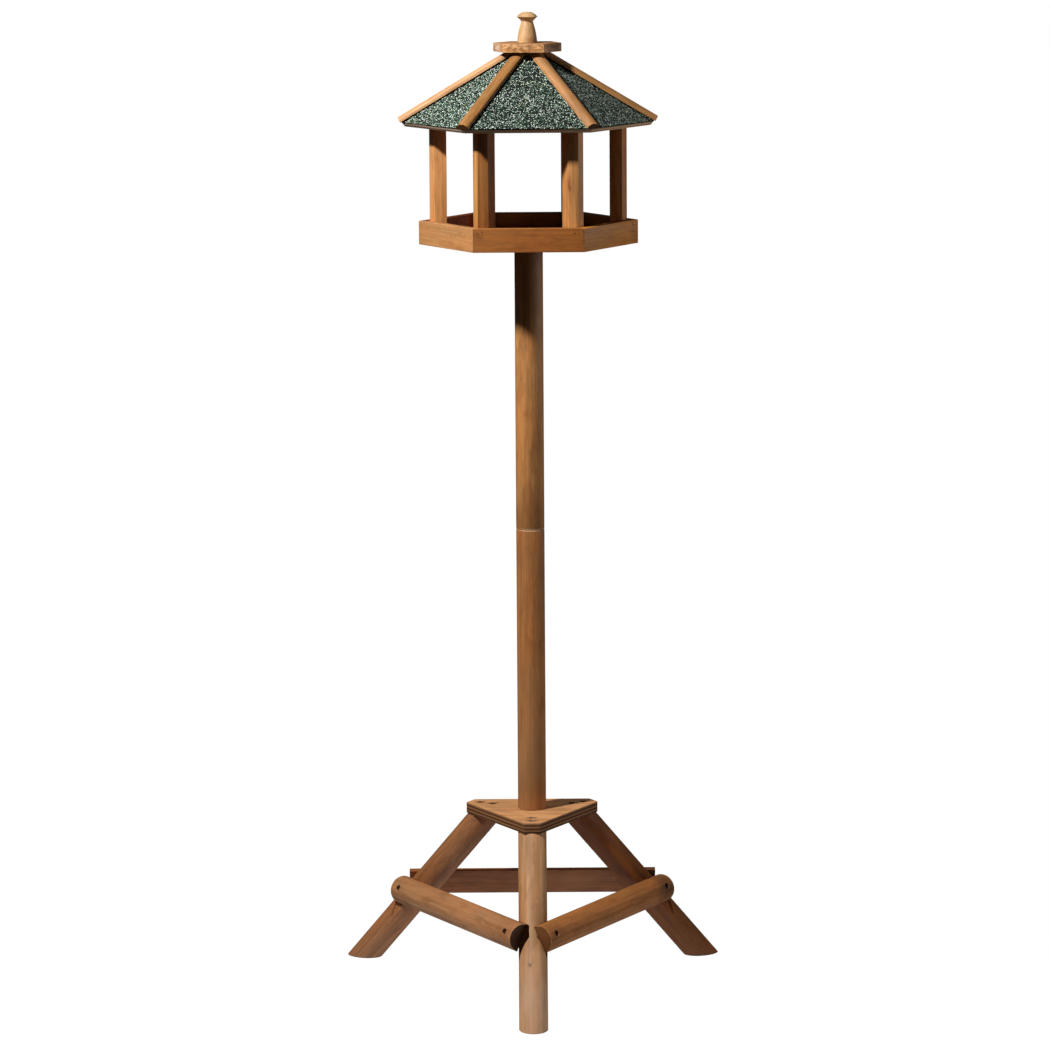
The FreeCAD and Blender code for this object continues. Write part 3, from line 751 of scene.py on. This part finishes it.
class Assembly:
    """What every sub-assembly can do: turn meshes into pieces that ride on the body."""

    def add(
        self, name: str, mesh: BMesh | Mesh, materials: Sequence[Material], slot: Slot, node: str
    ) -> None:
        """Makes a piece that stands for a CAD node.

        Args:
            name: the piece's name.
            mesh: its shape, in place.
            materials: its materials, none where a finished mesh brings its own.
            slot: the record's slot meant for it; not used.
            node: the CAD node that it stands for.
        """
        data = mesh
        if isinstance(mesh, BMesh):
            for edge in mesh.edges:
                edge.smooth = edge.calc_face_angle(0) < SMOOTH_UP_TO
            for face in mesh.faces:
                face.smooth = True
            data = bpy.data.meshes.new(name)
            mesh.to_mesh(data)
            mesh.free()
        data.name = name
        for material in materials:
            data.materials.append(material)
        piece = put(name, data)
        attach(piece, BODY)
        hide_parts(node)
        log.info("%s: %d faces, for %s", name, len(data.polygons), node)

    def dress(
        self, node: str, finish: Finish, lay: Lay, slot: Slot, edge: float,
        marks: Iterable[Mark] = (),
    ) -> None:
        """Adds a piece in a CAD node's shape, with its edges rounded.

        Args:
            node: the CAD node.
            finish: its finish.
            lay: how the finish lies on it.
            slot: the record's slot meant for it, which is passed on to add.
            edge: how far the rounding reaches from an edge, in mm.
            marks: marks besides those in the table.
        """
        mesh = clean_copy(node)
        soften(mesh, edge)
        material = finish.dress(node, lay, WOODS[node], [*MARKS.get(node, ()), *marks])
        self.add(f"{node}_wood", mesh, [material], slot, node)


@dataclass
class Stand(Assembly):
    """The pole in two halves, the plywood plate below it, three splayed legs and three braces."""

    edge: float = 0.6
    rod_edge: float = 0.5
    rim_edge: float = 0.9
    rod_radius: float = 20.0
    least_notch: float = 1.5
    sink_radii: Triple = (11.0, 11.0, 6.0)
    leg_angle: float = 48.3

    def build(self) -> None:
        """Builds every piece of the stand."""
        for node in ("lower_pole", "upper_pole"):
            self.dress(node, ROD, grown(node, UP), Slot.ROD, self.rim_edge)
        low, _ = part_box("base_plate")
        lay = Lay((0.0, 0.0, low.z / MM), shift=(13.0, 40.0, 0.9), spin=8.0)
        # The dark discs round the plate's screws are painted shade in their counterbores.
        self.dress("base_plate", SHEET, lay, Slot.SHEET, self.edge, [
            Mark(tuple(head_and_aim(points)[0] / MM), self.sink_radii, SINK_PAINTED_SHADE, 1)
            for points in solids_of("plate_screws")
        ])
        self.build_legs()
        for node, azimuth, finish in (
            ("brace_back", 0, ROD), ("brace_left", 120, SHADED_END_ROD), ("brace_right", -120, ROD)
        ):
            self.dress(node, finish, grown(node, outward(azimuth + 90)), Slot.ROD, self.rod_edge)

    def build_legs(self) -> None:
        """Dresses the three splayed legs, and paints shade on the notch floors that show in the
        front one.
        """
        slope = math.radians(self.leg_angle)
        for node, azimuth in (("leg_front", 180), ("leg_left", 60), ("leg_right", -60)):
            along = outward(azimuth) * math.cos(slope) - UP * math.sin(slope)
            mesh, lay = clean_copy(node), grown(node, along)
            materials = [ROD.dress(node, lay, WOODS[node], MARKS.get(node, ()))]
            if node == "leg_front":
                self.shade_notches(mesh, along)
                materials.append(PAINTED_SHADE_CUT.dress(node, lay, NOTCH_PAINTED_SHADE))
            soften(mesh, self.rod_edge)
            self.add(f"{node}_wood", mesh, materials, Slot.ROD, node)

    def shade_notches(self, mesh: BMesh, along: Vector) -> None:
        """Gives the flat floors of a leg's notches the leg's second material, a near-black painted
        shade that stands for the shadow in them.

        Args:
            mesh: the leg.
            along: the direction of its axis.
        """
        nearest = (self.rod_radius - self.least_notch) * MM
        foot = min(mesh.faces, key=lambda face: face.normal.z).calc_center_median()
        for face in mesh.faces:
            away = (face.calc_center_median() - foot).dot(face.normal)
            if abs(face.normal.dot(along)) < 0.1 and away < nearest:
                face.material_index = 1


@dataclass
class House(Assembly):
    """The tray with its six boards and floor, and the six posts that carry the roof."""

    board_edge: float = 0.7
    post_edge: float = 0.6

    def build(self) -> None:
        """Builds every piece of the tray and its posts."""
        for number, azimuth in enumerate(SIDE_AZIMUTHS, 1):
            node = f"tray_side_{number}"
            lay = grown(node, outward(azimuth + 90))
            self.dress(node, BOARD, lay, Slot.BOARD, self.board_edge)
        for number in range(1, 7):
            node = f"post_{number}"
            self.dress(node, POST, grown(node, UP), Slot.BOARD, self.post_edge)
        low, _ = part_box("tray_floor")
        lay = Lay((0.0, 0.0, low.z / MM), shift=(70.0, 10.0, 0.9))
        self.dress("tray_floor", SHEET, lay, Slot.SHEET, self.board_edge)


class GeometryTree(Nodes):
    """A Geometry Nodes tree made in the script, with named inputs."""

    KINDS = {float: "Float", int: "Int", tuple: "Vector", type(None): "Material"}

    def __init__(self, name: str, inputs: dict[str, float | int | Triple | None]) -> None:
        """Makes an empty tree.

        Args:
            name: the tree's name.
            inputs: input name to its usual value, which is None for a material.
        """
        super().__init__(bpy.data.node_groups.new(name, "GeometryNodeTree"))
        face = self.tree.interface
        face.new_socket("Geometry", in_out="INPUT", socket_type="NodeSocketGeometry")
        self.identifiers: dict[str, str] = {}
        for label, usual in inputs.items():
            kind = f"NodeSocket{self.KINDS[type(usual)]}"
            socket = face.new_socket(label, in_out="INPUT", socket_type=kind)
            if usual is not None:
                socket.default_value = usual
            self.identifiers[label] = socket.identifier
        face.new_socket("Geometry", in_out="OUTPUT", socket_type="NodeSocketGeometry")
        self.start = self.add("GroupInput").node

    def __getitem__(self, label: str) -> Socket:
        """Gives the socket of a named input."""
        return self.start.outputs[label]

    def lower(self, geometry: Socket, length: Socket, share: float = 1.0) -> Socket:
        """Adds nodes that move a shape down by a share of a length.

        Args:
            geometry: the shape.
            length: the length.
            share: the share of it.

        Returns:
            The lowered shape.
        """
        down = self.add("Math", length, -share, operation="MULTIPLY")
        return self.add("Transform", geometry, self.add("CombineXYZ", named={"Z": down}))

    def end(self, geometry: Socket, material: Socket, selection: Socket | bool = True) -> None:
        """Ends the tree in real geometry with its material.

        Args:
            geometry: what the tree made.
            material: the material for it.
            selection: which faces get the material.
        """
        real = self.add("RealizeInstances", geometry)
        self.add("GroupOutput", self.add("SetMaterial", real, selection, material))

    def run(self, mesh: Mesh, values: dict[str, object]) -> Mesh:
        """Runs the tree on a mesh and gives the result as a plain mesh.

        Args:
            mesh: what goes in.
            values: named inputs that differ from the usual ones.

        Returns:
            The plain mesh.
        """
        carrier = put("carrier", mesh)
        modifier = carrier.modifiers.new("tree", "NODES")
        modifier.node_group = self.tree
        for label, value in values.items():
            modifier[self.identifiers[label]] = value
        bpy.context.view_layer.update()
        graph = bpy.context.evaluated_depsgraph_get()
        result = bpy.data.meshes.new_from_object(
            carrier.evaluated_get(graph), preserve_all_data_layers=True, depsgraph=graph
        )
        carrier.modifiers.clear()
        bpy.data.objects.remove(carrier)
        return result


def solids_of(node: str) -> list[list[Vector]]:
    """Finds the separate solids of a CAD node.

    Args:
        node: the node's name.

    Returns:
        The corners of each solid, in metres.
    """
    mesh = clean_copy(node)
    left, found = set(mesh.verts), []
    while left:
        group = [left.pop()]
        for vert in group:
            for edge in vert.link_edges:
                other = edge.other_vert(vert)
                if other in left:
                    left.remove(other)
                    group.append(other)
        found.append([vert.co.copy() for vert in group])
    mesh.free()
    return sorted(found, key=lambda points: tuple(sum(points, Vector()) / len(points)))


def head_and_aim(points: Sequence[Vector]) -> tuple[Vector, Vector]:
    """Finds where a screw's or nail's head is, and which way the head faces.

    Args:
        points: the fastener's corners.

    Returns:
        The middle of the head's top and the direction out of the wood.
    """
    first = max(points, key=lambda p: (p - points[0]).length)
    last = max(points, key=lambda p: (p - first).length)
    rough = (last - first).normalized()
    ends = []
    for sign in (1, -1):
        reach = max(sign * p.dot(rough) for p in points)
        cap = [p for p in points if sign * p.dot(rough) > reach - 1.2 * MM]
        centre = sum(cap, Vector()) / len(cap)
        spread = sum((p - centre).length for p in cap) / len(cap)
        ends.append((round(spread, 6), centre))
    ends.sort(key=lambda pair: pair[0])
    aim = (ends[1][1] - ends[0][1]).normalized()
    far = max(p.dot(aim) for p in points)
    top = [p for p in points if p.dot(aim) > far - 0.05 * MM]
    return sum(top, Vector()) / len(top), aim


@dataclass
class Fasteners(Assembly):
    """The screws, nails and studs, each shaped once and set out by Geometry Nodes."""

    head: float = 8.0
    head_height: float = 2.4
    shank: float = 3.9
    screw_length: float = 42.0
    screw_turns: float = 14.0
    recess: float = 4.4
    recess_width: float = 1.1
    recess_depth: float = 1.6
    nail: float = 1.8
    nail_length: float = 20.0
    stud: float = 8.0
    stud_length: float = 64.0
    stud_turns: float = 40.0

    def build(self) -> None:
        """Builds all the screws, nails and studs."""
        screws, studs = self.screw_tree(), self.stud_tree()
        for node in ("plate_screws", "brace_screws", "post_screws"):
            self.set_out(screws, node, SHADE_DARKENED_STEEL, {})
        self.set_out(screws, "foot_screw", STEEL, {
            "Head Diameter": 11.8 * MM, "Head Height": 3.0 * MM, "Shank Diameter": 5.9 * MM,
            "Length": 47.0 * MM, "Recess": 6.0 * MM,
        })
        self.set_out(self.nail_tree(), "tray_nails", DARK_STEEL, {})
        for node in ("pole_joint_stud", "house_stud"):
            low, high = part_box(node)
            sizes = {"Diameter": high.x - low.x, "Length": high.z - low.z}
            self.set_out(studs, node, STEEL, sizes)

    def set_out(
        self, tree: GeometryTree, node: str, finish: Finish, values: dict[str, float]
    ) -> None:
        """Sets a tree's fastener at each place that a CAD node has one.

        Args:
            tree: the fastener's tree.
            node: the CAD node.
            finish: the fastener's finish.
            values: inputs that differ from the usual ones.
        """
        spots = [head_and_aim(points) for points in solids_of(node)]
        points = bpy.data.meshes.new(node)
        points.from_pydata([spot for spot, _ in spots], [], [])
        aims = points.attributes.new(AIM, "FLOAT_VECTOR", "POINT")
        for row, (_, aim) in zip(aims.data, spots):
            row.vector = aim
        mesh = tree.run(points, {"Material": finish.dress(node), **values})
        self.add(f"{node}_steel", mesh, [], Slot.STEEL, node)

    def finished(self, tree: GeometryTree, one: Socket) -> GeometryTree:
        """Ends a tree with one fastener on each point, turned to its aim.

        Args:
            tree: the tree.
            one: the fastener, its head's top at the origin and facing up.

        Returns:
            The tree.
        """
        aim = tree.add("InputNamedAttribute", AIM, data_type="FLOAT_VECTOR")
        spin = {"Max": (0.0, 0.0, 2 * math.pi), "Seed": tree["Seed"]}
        spin = tree.add("RandomValue", named=spin, data_type="FLOAT_VECTOR")
        aim = tree.add("AlignRotationToVector", named={"Vector": aim}, axis="Z")
        spin = tree.add("EulerToRotation", spin)
        turn = tree.add("RotateRotation", aim, spin, rotation_space="LOCAL")
        placed = {"Instance": one, "Rotation": turn}
        tree.end(tree.add("InstanceOnPoints", tree["Geometry"], named=placed), tree["Material"])
        return tree

    def screw_tree(self) -> GeometryTree:
        """Makes the tree of a countersunk screw with a cross recess and a thread."""
        tree = GeometryTree("Screws", {
            "Head Diameter": self.head * MM, "Head Height": self.head_height * MM,
            "Shank Diameter": self.shank * MM, "Length": self.screw_length * MM,
            "Recess": self.recess * MM, "Recess Width": self.recess_width * MM,
            "Recess Depth": self.recess_depth * MM, "Seed": 3, "Material": None,
        })
        radius, thin, deep = (
            tree.add("Math", tree[label], share, operation="MULTIPLY")
            for label, share in (
                ("Head Diameter", 0.5), ("Shank Diameter", 0.5), ("Recess Depth", 2.0)
            )
        )
        core = tree.add("Math", thin, 0.8, operation="MULTIPLY")
        high = tree["Head Height"]
        head = tree.lower(tree.add("MeshCone", 32, 3, 1, radius, thin, high), high)
        bars = [
            tree.add("MeshCube", tree.add("CombineXYZ", tree[wide], tree[broad], deep))
            for wide, broad in (("Recess", "Recess Width"), ("Recess Width", "Recess"))
        ]
        cross = tree.add("MeshBoolean", bars, operation="UNION")
        cut = tree.add("MeshBoolean", head, cross, operation="DIFFERENCE")
        length = tree.add("Math", tree["Length"], high, operation="SUBTRACT")
        shaft = tree.lower(self.threaded(tree, core, thin, length, self.screw_turns), high)
        both = tree.add("JoinGeometry", [shaft, cut])
        return self.finished(tree, tree.add("SetShadeSmooth", both, True, False))

    def threaded(
        self, tree: GeometryTree, core: Socket, outer: Socket, length: Socket, turns: float
    ) -> Socket:
        """Adds nodes for a threaded shaft that hangs down from the origin.

        Args:
            tree: the tree.
            core: radius of the shaft between the threads.
            outer: radius over the threads.
            length: length of the shaft.
            turns: how often the thread goes round.

        Returns:
            The shaft.
        """
        shaft = tree.lower(tree.add("MeshCylinder", 16, 1, 1, core, length), length, 0.5)
        climb = tree.add("Math", length, 0.94, operation="MULTIPLY")
        helix = tree.add("CurveSpiral", 14, turns, core, core, climb)
        ridge = tree.add("Math", outer, core, operation="SUBTRACT")
        ridge = tree.add("CurvePrimitiveCircle", 3, ridge)
        thread = tree.add("CurveToMesh", helix, ridge, named={"Fill Caps": True})
        return tree.add("JoinGeometry", [tree.lower(thread, length, 0.97), shaft])

    def stud_tree(self) -> GeometryTree:
        """Makes the tree of a headless stud that is threaded from end to end."""
        tree = GeometryTree("Studs", {
            "Diameter": self.stud * MM, "Length": self.stud_length * MM, "Seed": 7,
            "Material": None,
        })
        outer, core = (
            tree.add("Math", tree["Diameter"], share, operation="MULTIPLY")
            for share in (0.5, 0.42)
        )
        return self.finished(
            tree, self.threaded(tree, core, outer, tree["Length"], self.stud_turns)
        )

    def nail_tree(self) -> GeometryTree:
        """Makes the tree of a thin nail whose head is no wider than its wire."""
        tree = GeometryTree("Nails", {
            "Diameter": self.nail * MM, "Length": self.nail_length * MM, "Seed": 5,
            "Material": None,
        })
        half = tree.add("Math", tree["Diameter"], 0.49, operation="MULTIPLY")
        wire = tree.add("MeshCylinder", 12, 1, 1, half, tree["Length"])
        return self.finished(tree, tree.lower(wire, tree["Length"], 0.5))


@dataclass
class Roof(Assembly):
    """Six plywood panels under green mineral felt, with a rounded strip over each hip."""

    slope: float = 34.6
    panel_edge: float = 0.35
    shaded_side_felt: str = "roof_felt_2"
    chip_spacing: float = 1.2
    chip_size: float = 0.76
    hip_angle: float = 30.86
    strip_foot_radius: float = 177.84
    strip_foot_height: float = 1226.53
    strip_head_radius: float = 16.4
    strip_top: float = 1324.1
    strip_width: float = 18.0
    strip_side: float = 3.5
    strip_height: float = 8.0
    strip_corner: float = 0.9
    crown_steps: int = 12

    def build(self) -> None:
        """Builds every piece of the roof below the cap."""
        for number, azimuth in enumerate(SIDE_AZIMUTHS, 1):
            node = f"roof_panel_{number}"
            draw = random.Random(node)
            shift = (draw.uniform(0, 90), draw.uniform(0, 90), 0.75)
            lay = Lay(middle(node), tuple(self.normal(azimuth)), shift, azimuth)
            self.dress(node, THIN_SHEET, lay, Slot.SHEET, self.panel_edge)
        self.build_felt()
        self.build_strips()
        self.dress("roof_block", BOARD, grown("roof_block", UP), Slot.BOARD, self.panel_edge)

    def normal(self, azimuth: float) -> Vector:
        """Gives the direction that the roof faces at a side's azimuth."""
        slope = math.radians(self.slope)
        return outward(azimuth) * math.sin(slope) + UP * math.cos(slope)

    def granule_tree(self) -> GeometryTree:
        """Makes the tree that strews crushed slate over the upper face of a felt sheet."""
        tree = GeometryTree("Slate granules", {
            "Spacing": self.chip_spacing * MM, "Chip Size": self.chip_size * MM,
            "Facing": (0.0, 0.0, 1.0), "Seed": 1, "Granules": None,
        })
        sheet, facing, seed = tree["Geometry"], tree["Facing"], {"Seed": tree["Seed"]}
        up = tree.add("VectorMath", tree.add("InputNormal"), facing, operation="DOT_PRODUCT")
        is_top = tree.add("Compare", up, 0.9, data_type="FLOAT", operation="GREATER_THAN")
        points = tree.add("DistributePointsOnFaces", sheet, is_top, named={
            "Distance Min": tree["Spacing"], "Density Max": 900000.0, **seed,
        }, distribute_method="POISSON")
        size, lean = (
            tree.add("RandomValue", low, high, named=seed, data_type="FLOAT_VECTOR")
            for low, high in (
                ((0.65, 0.65, 0.35), (1.25, 1.25, 0.70)),
                ((-0.5, -0.5, 0.0), (0.5, 0.5, 2 * math.pi)),
            )
        )
        lean = tree.add("EulerToRotation", lean)
        flat = tree.add("AlignRotationToVector", named={"Vector": facing}, axis="Z")
        chips = tree.add("InstanceOnPoints", points, named={
            "Instance": tree.add("MeshUVSphere", 5, 3, 1.0),
            "Rotation": tree.add("RotateRotation", flat, lean, rotation_space="LOCAL"),
            "Scale": tree.add("VectorMath", size, tree["Chip Size"], operation="SCALE"),
        })
        tone = tree.add("RandomValue", 0.02, 1.0, named=seed, data_type="FLOAT")
        tone = {"Name": GRAIN_TONE, "Value": tone}
        chips = tree.add(
            "StoreNamedAttribute", chips, named=tone, data_type="FLOAT", domain="INSTANCE"
        )
        both = tree.add("JoinGeometry", [chips, sheet])
        tone = tree.add("InputNamedAttribute", GRAIN_TONE, data_type="FLOAT")
        is_chip = tree.add("Compare", tone, 0.001, data_type="FLOAT", operation="GREATER_THAN")
        tree.end(both, tree["Granules"], is_chip)
        return tree

    def build_felt(self) -> None:
        """Builds the six felt sheets with their granules."""
        tree = self.granule_tree()
        # The right-hand sheet's darker granules are painted shade.
        usual, dull = GRANULES.dress(), SHADED_SIDE_GRANULES.dress()
        for number, azimuth in enumerate(SIDE_AZIMUTHS, 1):
            node = f"roof_felt_{number}"
            sheet = clean_copy(node)
            base = bpy.data.meshes.new(node)
            sheet.to_mesh(base)
            sheet.free()
            base.materials.append(FELT_BASE.dress(node))
            mesh = tree.run(base, {
                "Facing": self.normal(azimuth),
                "Seed": number,
                "Granules": dull if node == self.shaded_side_felt else usual,
            })
            self.add(f"{node}_mineral", mesh, [], Slot.FELT, node)

    def strip_profile(self) -> list[tuple[float, float]]:
        """Gives the strip's cross-section, its crown towards -Y, in mm."""
        half, side, top = self.strip_width / 2, self.strip_side, self.strip_height
        radius = (half**2 + (top - side) ** 2) / 2 / (top - side)
        foot = [(half - 0.4, 0.0), (half, 0.4), (half, side - self.strip_corner)]
        limit = math.asin((half - self.strip_corner * 0.6) / radius)
        crown = []
        for step in range(self.crown_steps + 1):
            turn = limit * (1 - 2 * step / self.crown_steps)
            crown.append((radius * math.sin(turn), top - radius + radius * math.cos(turn)))
        points = [*foot, *crown, *((-x, y) for x, y in reversed(foot))]
        return [(x, -y) for x, y in points]

    def strip_tree(self) -> GeometryTree:
        """Makes the tree that runs a strip's profile up a hip and chips its lower end."""
        tree = GeometryTree("Hip strip", {
            "Foot": (0.0, 0.0, 0.0), "Head": (0.0, 0.0, 1.0), "Unevenness": 0.35 * MM,
            "Chipping": 1.6 * MM, "Seed": 0.0, "Material": None,
        })
        foot, head = tree["Foot"], tree["Head"]
        line = tree.add("CurvePrimitiveLine", foot, head)
        line = tree.add("ResampleCurve", line, named={"Count": 72})
        line = tree.add("SetCurveNormal", line, mode="Z_UP")
        profile = tree.add("MeshToCurve", tree["Geometry"])
        strip = tree.add("CurveToMesh", line, profile, named={"Fill Caps": True})
        place = tree.add("InputPosition")
        wobble, flake = (
            tree.add("TexNoise", place, tree["Seed"], scale, 2.0, out=out, noise_dimensions="4D")
            for scale, out in ((55.0, "Color"), (420.0, "Fac"))
        )
        wobble = tree.add("VectorMath", wobble, (0.5, 0.5, 0.5), operation="SUBTRACT")
        away = tree.add("VectorMath", place, foot, operation="DISTANCE")
        depth = tree.add("MapRange", away, 12.0 * MM, 2.0 * MM)
        for factor in (flake, tree["Chipping"]):
            depth = tree.add("Math", depth, factor, operation="MULTIPLY")
        uphill = tree.add("VectorMath", head, foot, operation="SUBTRACT")
        uphill = tree.add("VectorMath", uphill, operation="NORMALIZE")
        wobble, chipped = (
            tree.add("VectorMath", vector, scale, operation="SCALE")
            for vector, scale in ((wobble, tree["Unevenness"]), (uphill, depth))
        )
        offset = tree.add("VectorMath", wobble, chipped, operation="ADD")
        tree.end(tree.add("SetPosition", strip, named={"Offset": offset}), tree["Material"])
        return tree

    def build_strips(self) -> None:
        """Builds the six strips over the hips."""
        tree, profile = self.strip_tree(), self.strip_profile()
        count = len(profile)
        run = self.strip_foot_radius - self.strip_head_radius
        climb = run * math.tan(math.radians(self.hip_angle))
        for number, azimuth in enumerate(CORNER_AZIMUTHS, 1):
            node = f"hip_batten_{number}"
            foot, head = (
                POLE_AXIS + outward(azimuth) * radius + UP * (self.strip_foot_height + rise)
                for radius, rise in ((self.strip_foot_radius, 0), (self.strip_head_radius, climb))
            )
            ring = bpy.data.meshes.new(node)
            corners = [(x * MM, y * MM, 0.0) for x, y in profile]
            ring.from_pydata(corners, [(i, (i + 1) % count) for i in range(count)], [])
            lay = grown(node, (head - foot).normalized())
            material = MOULDING.dress(node, lay, WOODS[node])
            mesh = tree.run(ring, {
                "Foot": foot * MM, "Head": head * MM, "Seed": float(number), "Material": material,
            })
            self.add(f"{node}_wood", self.cut_level(mesh), [material], Slot.MOULDING, node)

    def cut_level(self, mesh: Mesh) -> BMesh:
        """Cuts a strip off level just below the cap.

        Args:
            mesh: the whole strip.

        Returns:
            The strip without what would stand into the cap.
        """
        strip = bmesh.new()
        strip.from_mesh(mesh)
        bmesh.ops.remove_doubles(strip, verts=strip.verts, dist=1e-6)
        cut = bmesh.ops.bisect_plane(
            strip, geom=[*strip.verts, *strip.edges, *strip.faces], clear_outer=True,
            plane_co=UP * self.strip_top * MM, plane_no=UP,
        )
        rim = [e for e in cut["geom_cut"] if isinstance(e, bmesh.types.BMEdge)]
        bmesh.ops.holes_fill(strip, edges=rim)
        return strip


@dataclass
class Crown(Assembly):
    """The six-sided cap board and the turned knob on it."""

    cap_edge: float = 0.5
    knob_foot: float = 1336.31
    foot_chamfer: float = 0.5
    base_radius: float = 13.9
    neck_radius: float = 8.1
    neck_height: float = 29.6
    flank_steps: int = 14
    flank_bulge: float = 1.1
    brim_radius: float = 14.6
    brim_height: float = 36.0
    brim_shares: tuple[float, ...] = (0.25, 0.5, 0.75, 0.93)
    top_radius: float = 6.4
    top_height: float = 42.2
    dome_steps: int = 6
    steps: int = 64

    def build(self) -> None:
        """Builds the cap and the knob."""
        lay = Lay(middle("cap"), (1.0, 0.24, 0.0), (9.0, 21.0, 0.0))
        self.dress("cap", SAWN_CAP, lay, Slot.MOULDING, self.cap_edge)
        lay = Lay(tuple(POLE_AXIS), shift=(17.0, 9.0, 0.0))
        material = TURNED.dress("knob", lay, WOODS["knob"], MARKS["knob"])
        self.add("knob_wood", self.turn_knob(), [material], Slot.KNOB, "knob")

    def outline(self) -> list[tuple[float, float]]:
        """Gives the knob's radius and height from its foot to its top, in mm."""
        points = [(0.0, 0.0), (self.base_radius - self.foot_chamfer, 0.0)]
        for step in range(self.flank_steps + 1):
            share = step / self.flank_steps
            radius = self.base_radius + (self.neck_radius - self.base_radius) * share
            radius += self.flank_bulge * math.sin(math.pi * share) * (1 - 0.35 * share)
            height = self.foot_chamfer + (self.neck_height - self.foot_chamfer) * share
            points.append((radius, height))
        for share in self.brim_shares:
            radius = self.neck_radius + (self.brim_radius - self.neck_radius) * share
            height = self.neck_height + (self.brim_height - self.neck_height) * share
            points.append((radius - 0.5 * math.sin(math.pi * share), height))
        points.append((self.brim_radius, self.brim_height - 0.15))
        for step in range(self.dome_steps + 1):
            share = step / self.dome_steps
            turn = math.radians(14 + 62 * share)
            radius = self.top_radius + (self.brim_radius - self.top_radius) * (1 - share)
            bulge = 0.7 * math.sin(math.pi * share)
            height = self.brim_height + (self.top_height - self.brim_height) * share
            points.append((radius + bulge * math.sin(turn) - 0.1 * share, height + 0.5 * bulge))
        return [*points, (0.0, self.top_height + 0.1)]

    def turn_knob(self) -> BMesh:
        """Turns the knob's outline about the pole's axis into a closed mesh."""
        mesh = bmesh.new()
        rings = []
        for radius, height in self.outline():
            centre = POLE_AXIS + UP * (self.knob_foot + height)
            if radius == 0.0:
                rings.append([mesh.verts.new(centre * MM)] * self.steps)
                continue
            rings.append([
                mesh.verts.new((centre + outward(360 * step / self.steps) * radius) * MM)
                for step in range(self.steps)
            ])
        for low, high in zip(rings, rings[1:]):
            for step in range(self.steps):
                after = (step + 1) % self.steps
                corners = [low[step], low[after], high[after], high[step]]
                mesh.faces.new(list(dict.fromkeys(corners)))
        bmesh.ops.recalc_face_normals(mesh, faces=mesh.faces)
        return mesh


@dataclass
class Studio:
    """Pale floor, soft light and the camera that took the photograph."""

    camera_place: Triple = (-7.5, -6389.6, 1658.6)
    camera_pitch: float = 8.806
    camera_roll: float = -0.374
    focal_pixels: float = 4627.7
    photo_pixels: float = 1050.0
    sensor: float = 36.0
    view_reach: float = 500.0
    floor_reach: float = 60.0
    bounce_radius: float = 0.45
    bounce_power: float = 2.1
    room_strength: float = 0.045

    def build(self) -> None:
        """Builds the camera, the floor, the lights and the world."""
        self.build_camera()
        self.build_floor()
        self.add_lamp("key", 49.5, 1600.0, 2570.0, 330.0, 90.0)
        self.add_lamp("fill", -86.0, 1300.0, 1100.0, 22.0, 320.0)
        self.add_bounce()
        world = bpy.data.worlds.new("studio")
        world.use_nodes = True
        surround = world.node_tree.nodes["Background"]
        surround.inputs["Color"].default_value = linear("#F4F6FA")
        surround.inputs["Strength"].default_value = self.room_strength
        bpy.context.scene.world = world
        bpy.context.scene.view_settings.view_transform = "Standard"

    def build_camera(self) -> None:
        """Puts the camera where the photograph was taken from."""
        data = bpy.data.cameras.new("camera")
        data.sensor_width = self.sensor
        data.lens = self.focal_pixels / self.photo_pixels * self.sensor
        data.clip_end = self.view_reach
        camera = put("camera", data)
        down = Euler((math.radians(90 - self.camera_pitch), 0.0, 0.0)).to_matrix().to_4x4()
        roll = Matrix.Rotation(math.radians(self.camera_roll), 4, "Z")
        place = Matrix.Translation(Vector(self.camera_place) * MM)
        camera.matrix_world = place @ down @ roll
        bpy.context.scene.camera = camera

    def build_floor(self) -> None:
        """Lays a wide pale floor."""
        reach = self.floor_reach
        corners = [(x * reach, y * reach, 0) for x, y in ((-1, -1), (1, -1), (1, 1), (-1, 1))]
        mesh = bpy.data.meshes.new("studio_floor")
        mesh.from_pydata(corners, [], [(0, 1, 2, 3)])
        mesh.materials.append(PAPER.dress())
        floor = put("studio_floor", mesh)
        floor.visible_diffuse = False
        floor.visible_glossy = False

    def add_bounce(self) -> None:
        """Adds the light that the sunlit ground under the stand throws back up."""
        data = bpy.data.lights.new("bounce", "AREA")
        data.shape = "DISK"
        data.size = 2 * self.bounce_radius
        data.energy = self.bounce_power
        data.color = linear("#EEF4FF")[:3]
        lamp = put("bounce", data)
        lamp.location = (0.0, 0.0, MM)
        lamp.rotation_euler = (math.pi, 0.0, 0.0)
        lamp.visible_camera = False
        lamp.visible_glossy = False

    def add_lamp(
        self, name: str, left: float, away: float, height: float, power: float, radius: float
    ) -> None:
        """Adds a round lamp.

        Args:
            name: its name.
            left: how far it stands to the left of the front, in degrees.
            away: how far it stands from the pole, in mm.
            height: how high it hangs, in mm.
            power: its power.
            radius: the radius of its glowing ball, in mm.
        """
        data = bpy.data.lights.new(name, "POINT")
        data.energy = power
        data.shadow_soft_size = radius * MM
        lamp = put(name, data)
        lamp.location = (POLE_AXIS + outward(180 - left) * away + UP * height) * MM
        lamp.visible_camera = False


def main() -> None:
    """Builds the whole bird table and the studio around it."""
    logging.basicConfig(level=logging.INFO, format="%(name)s: %(message)s")
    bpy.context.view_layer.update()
    Studio().build()
    for assembly in (Stand(), House(), Roof(), Crown(), Fasteners()):
        assembly.build()


if __name__ == "__main__":
    main()
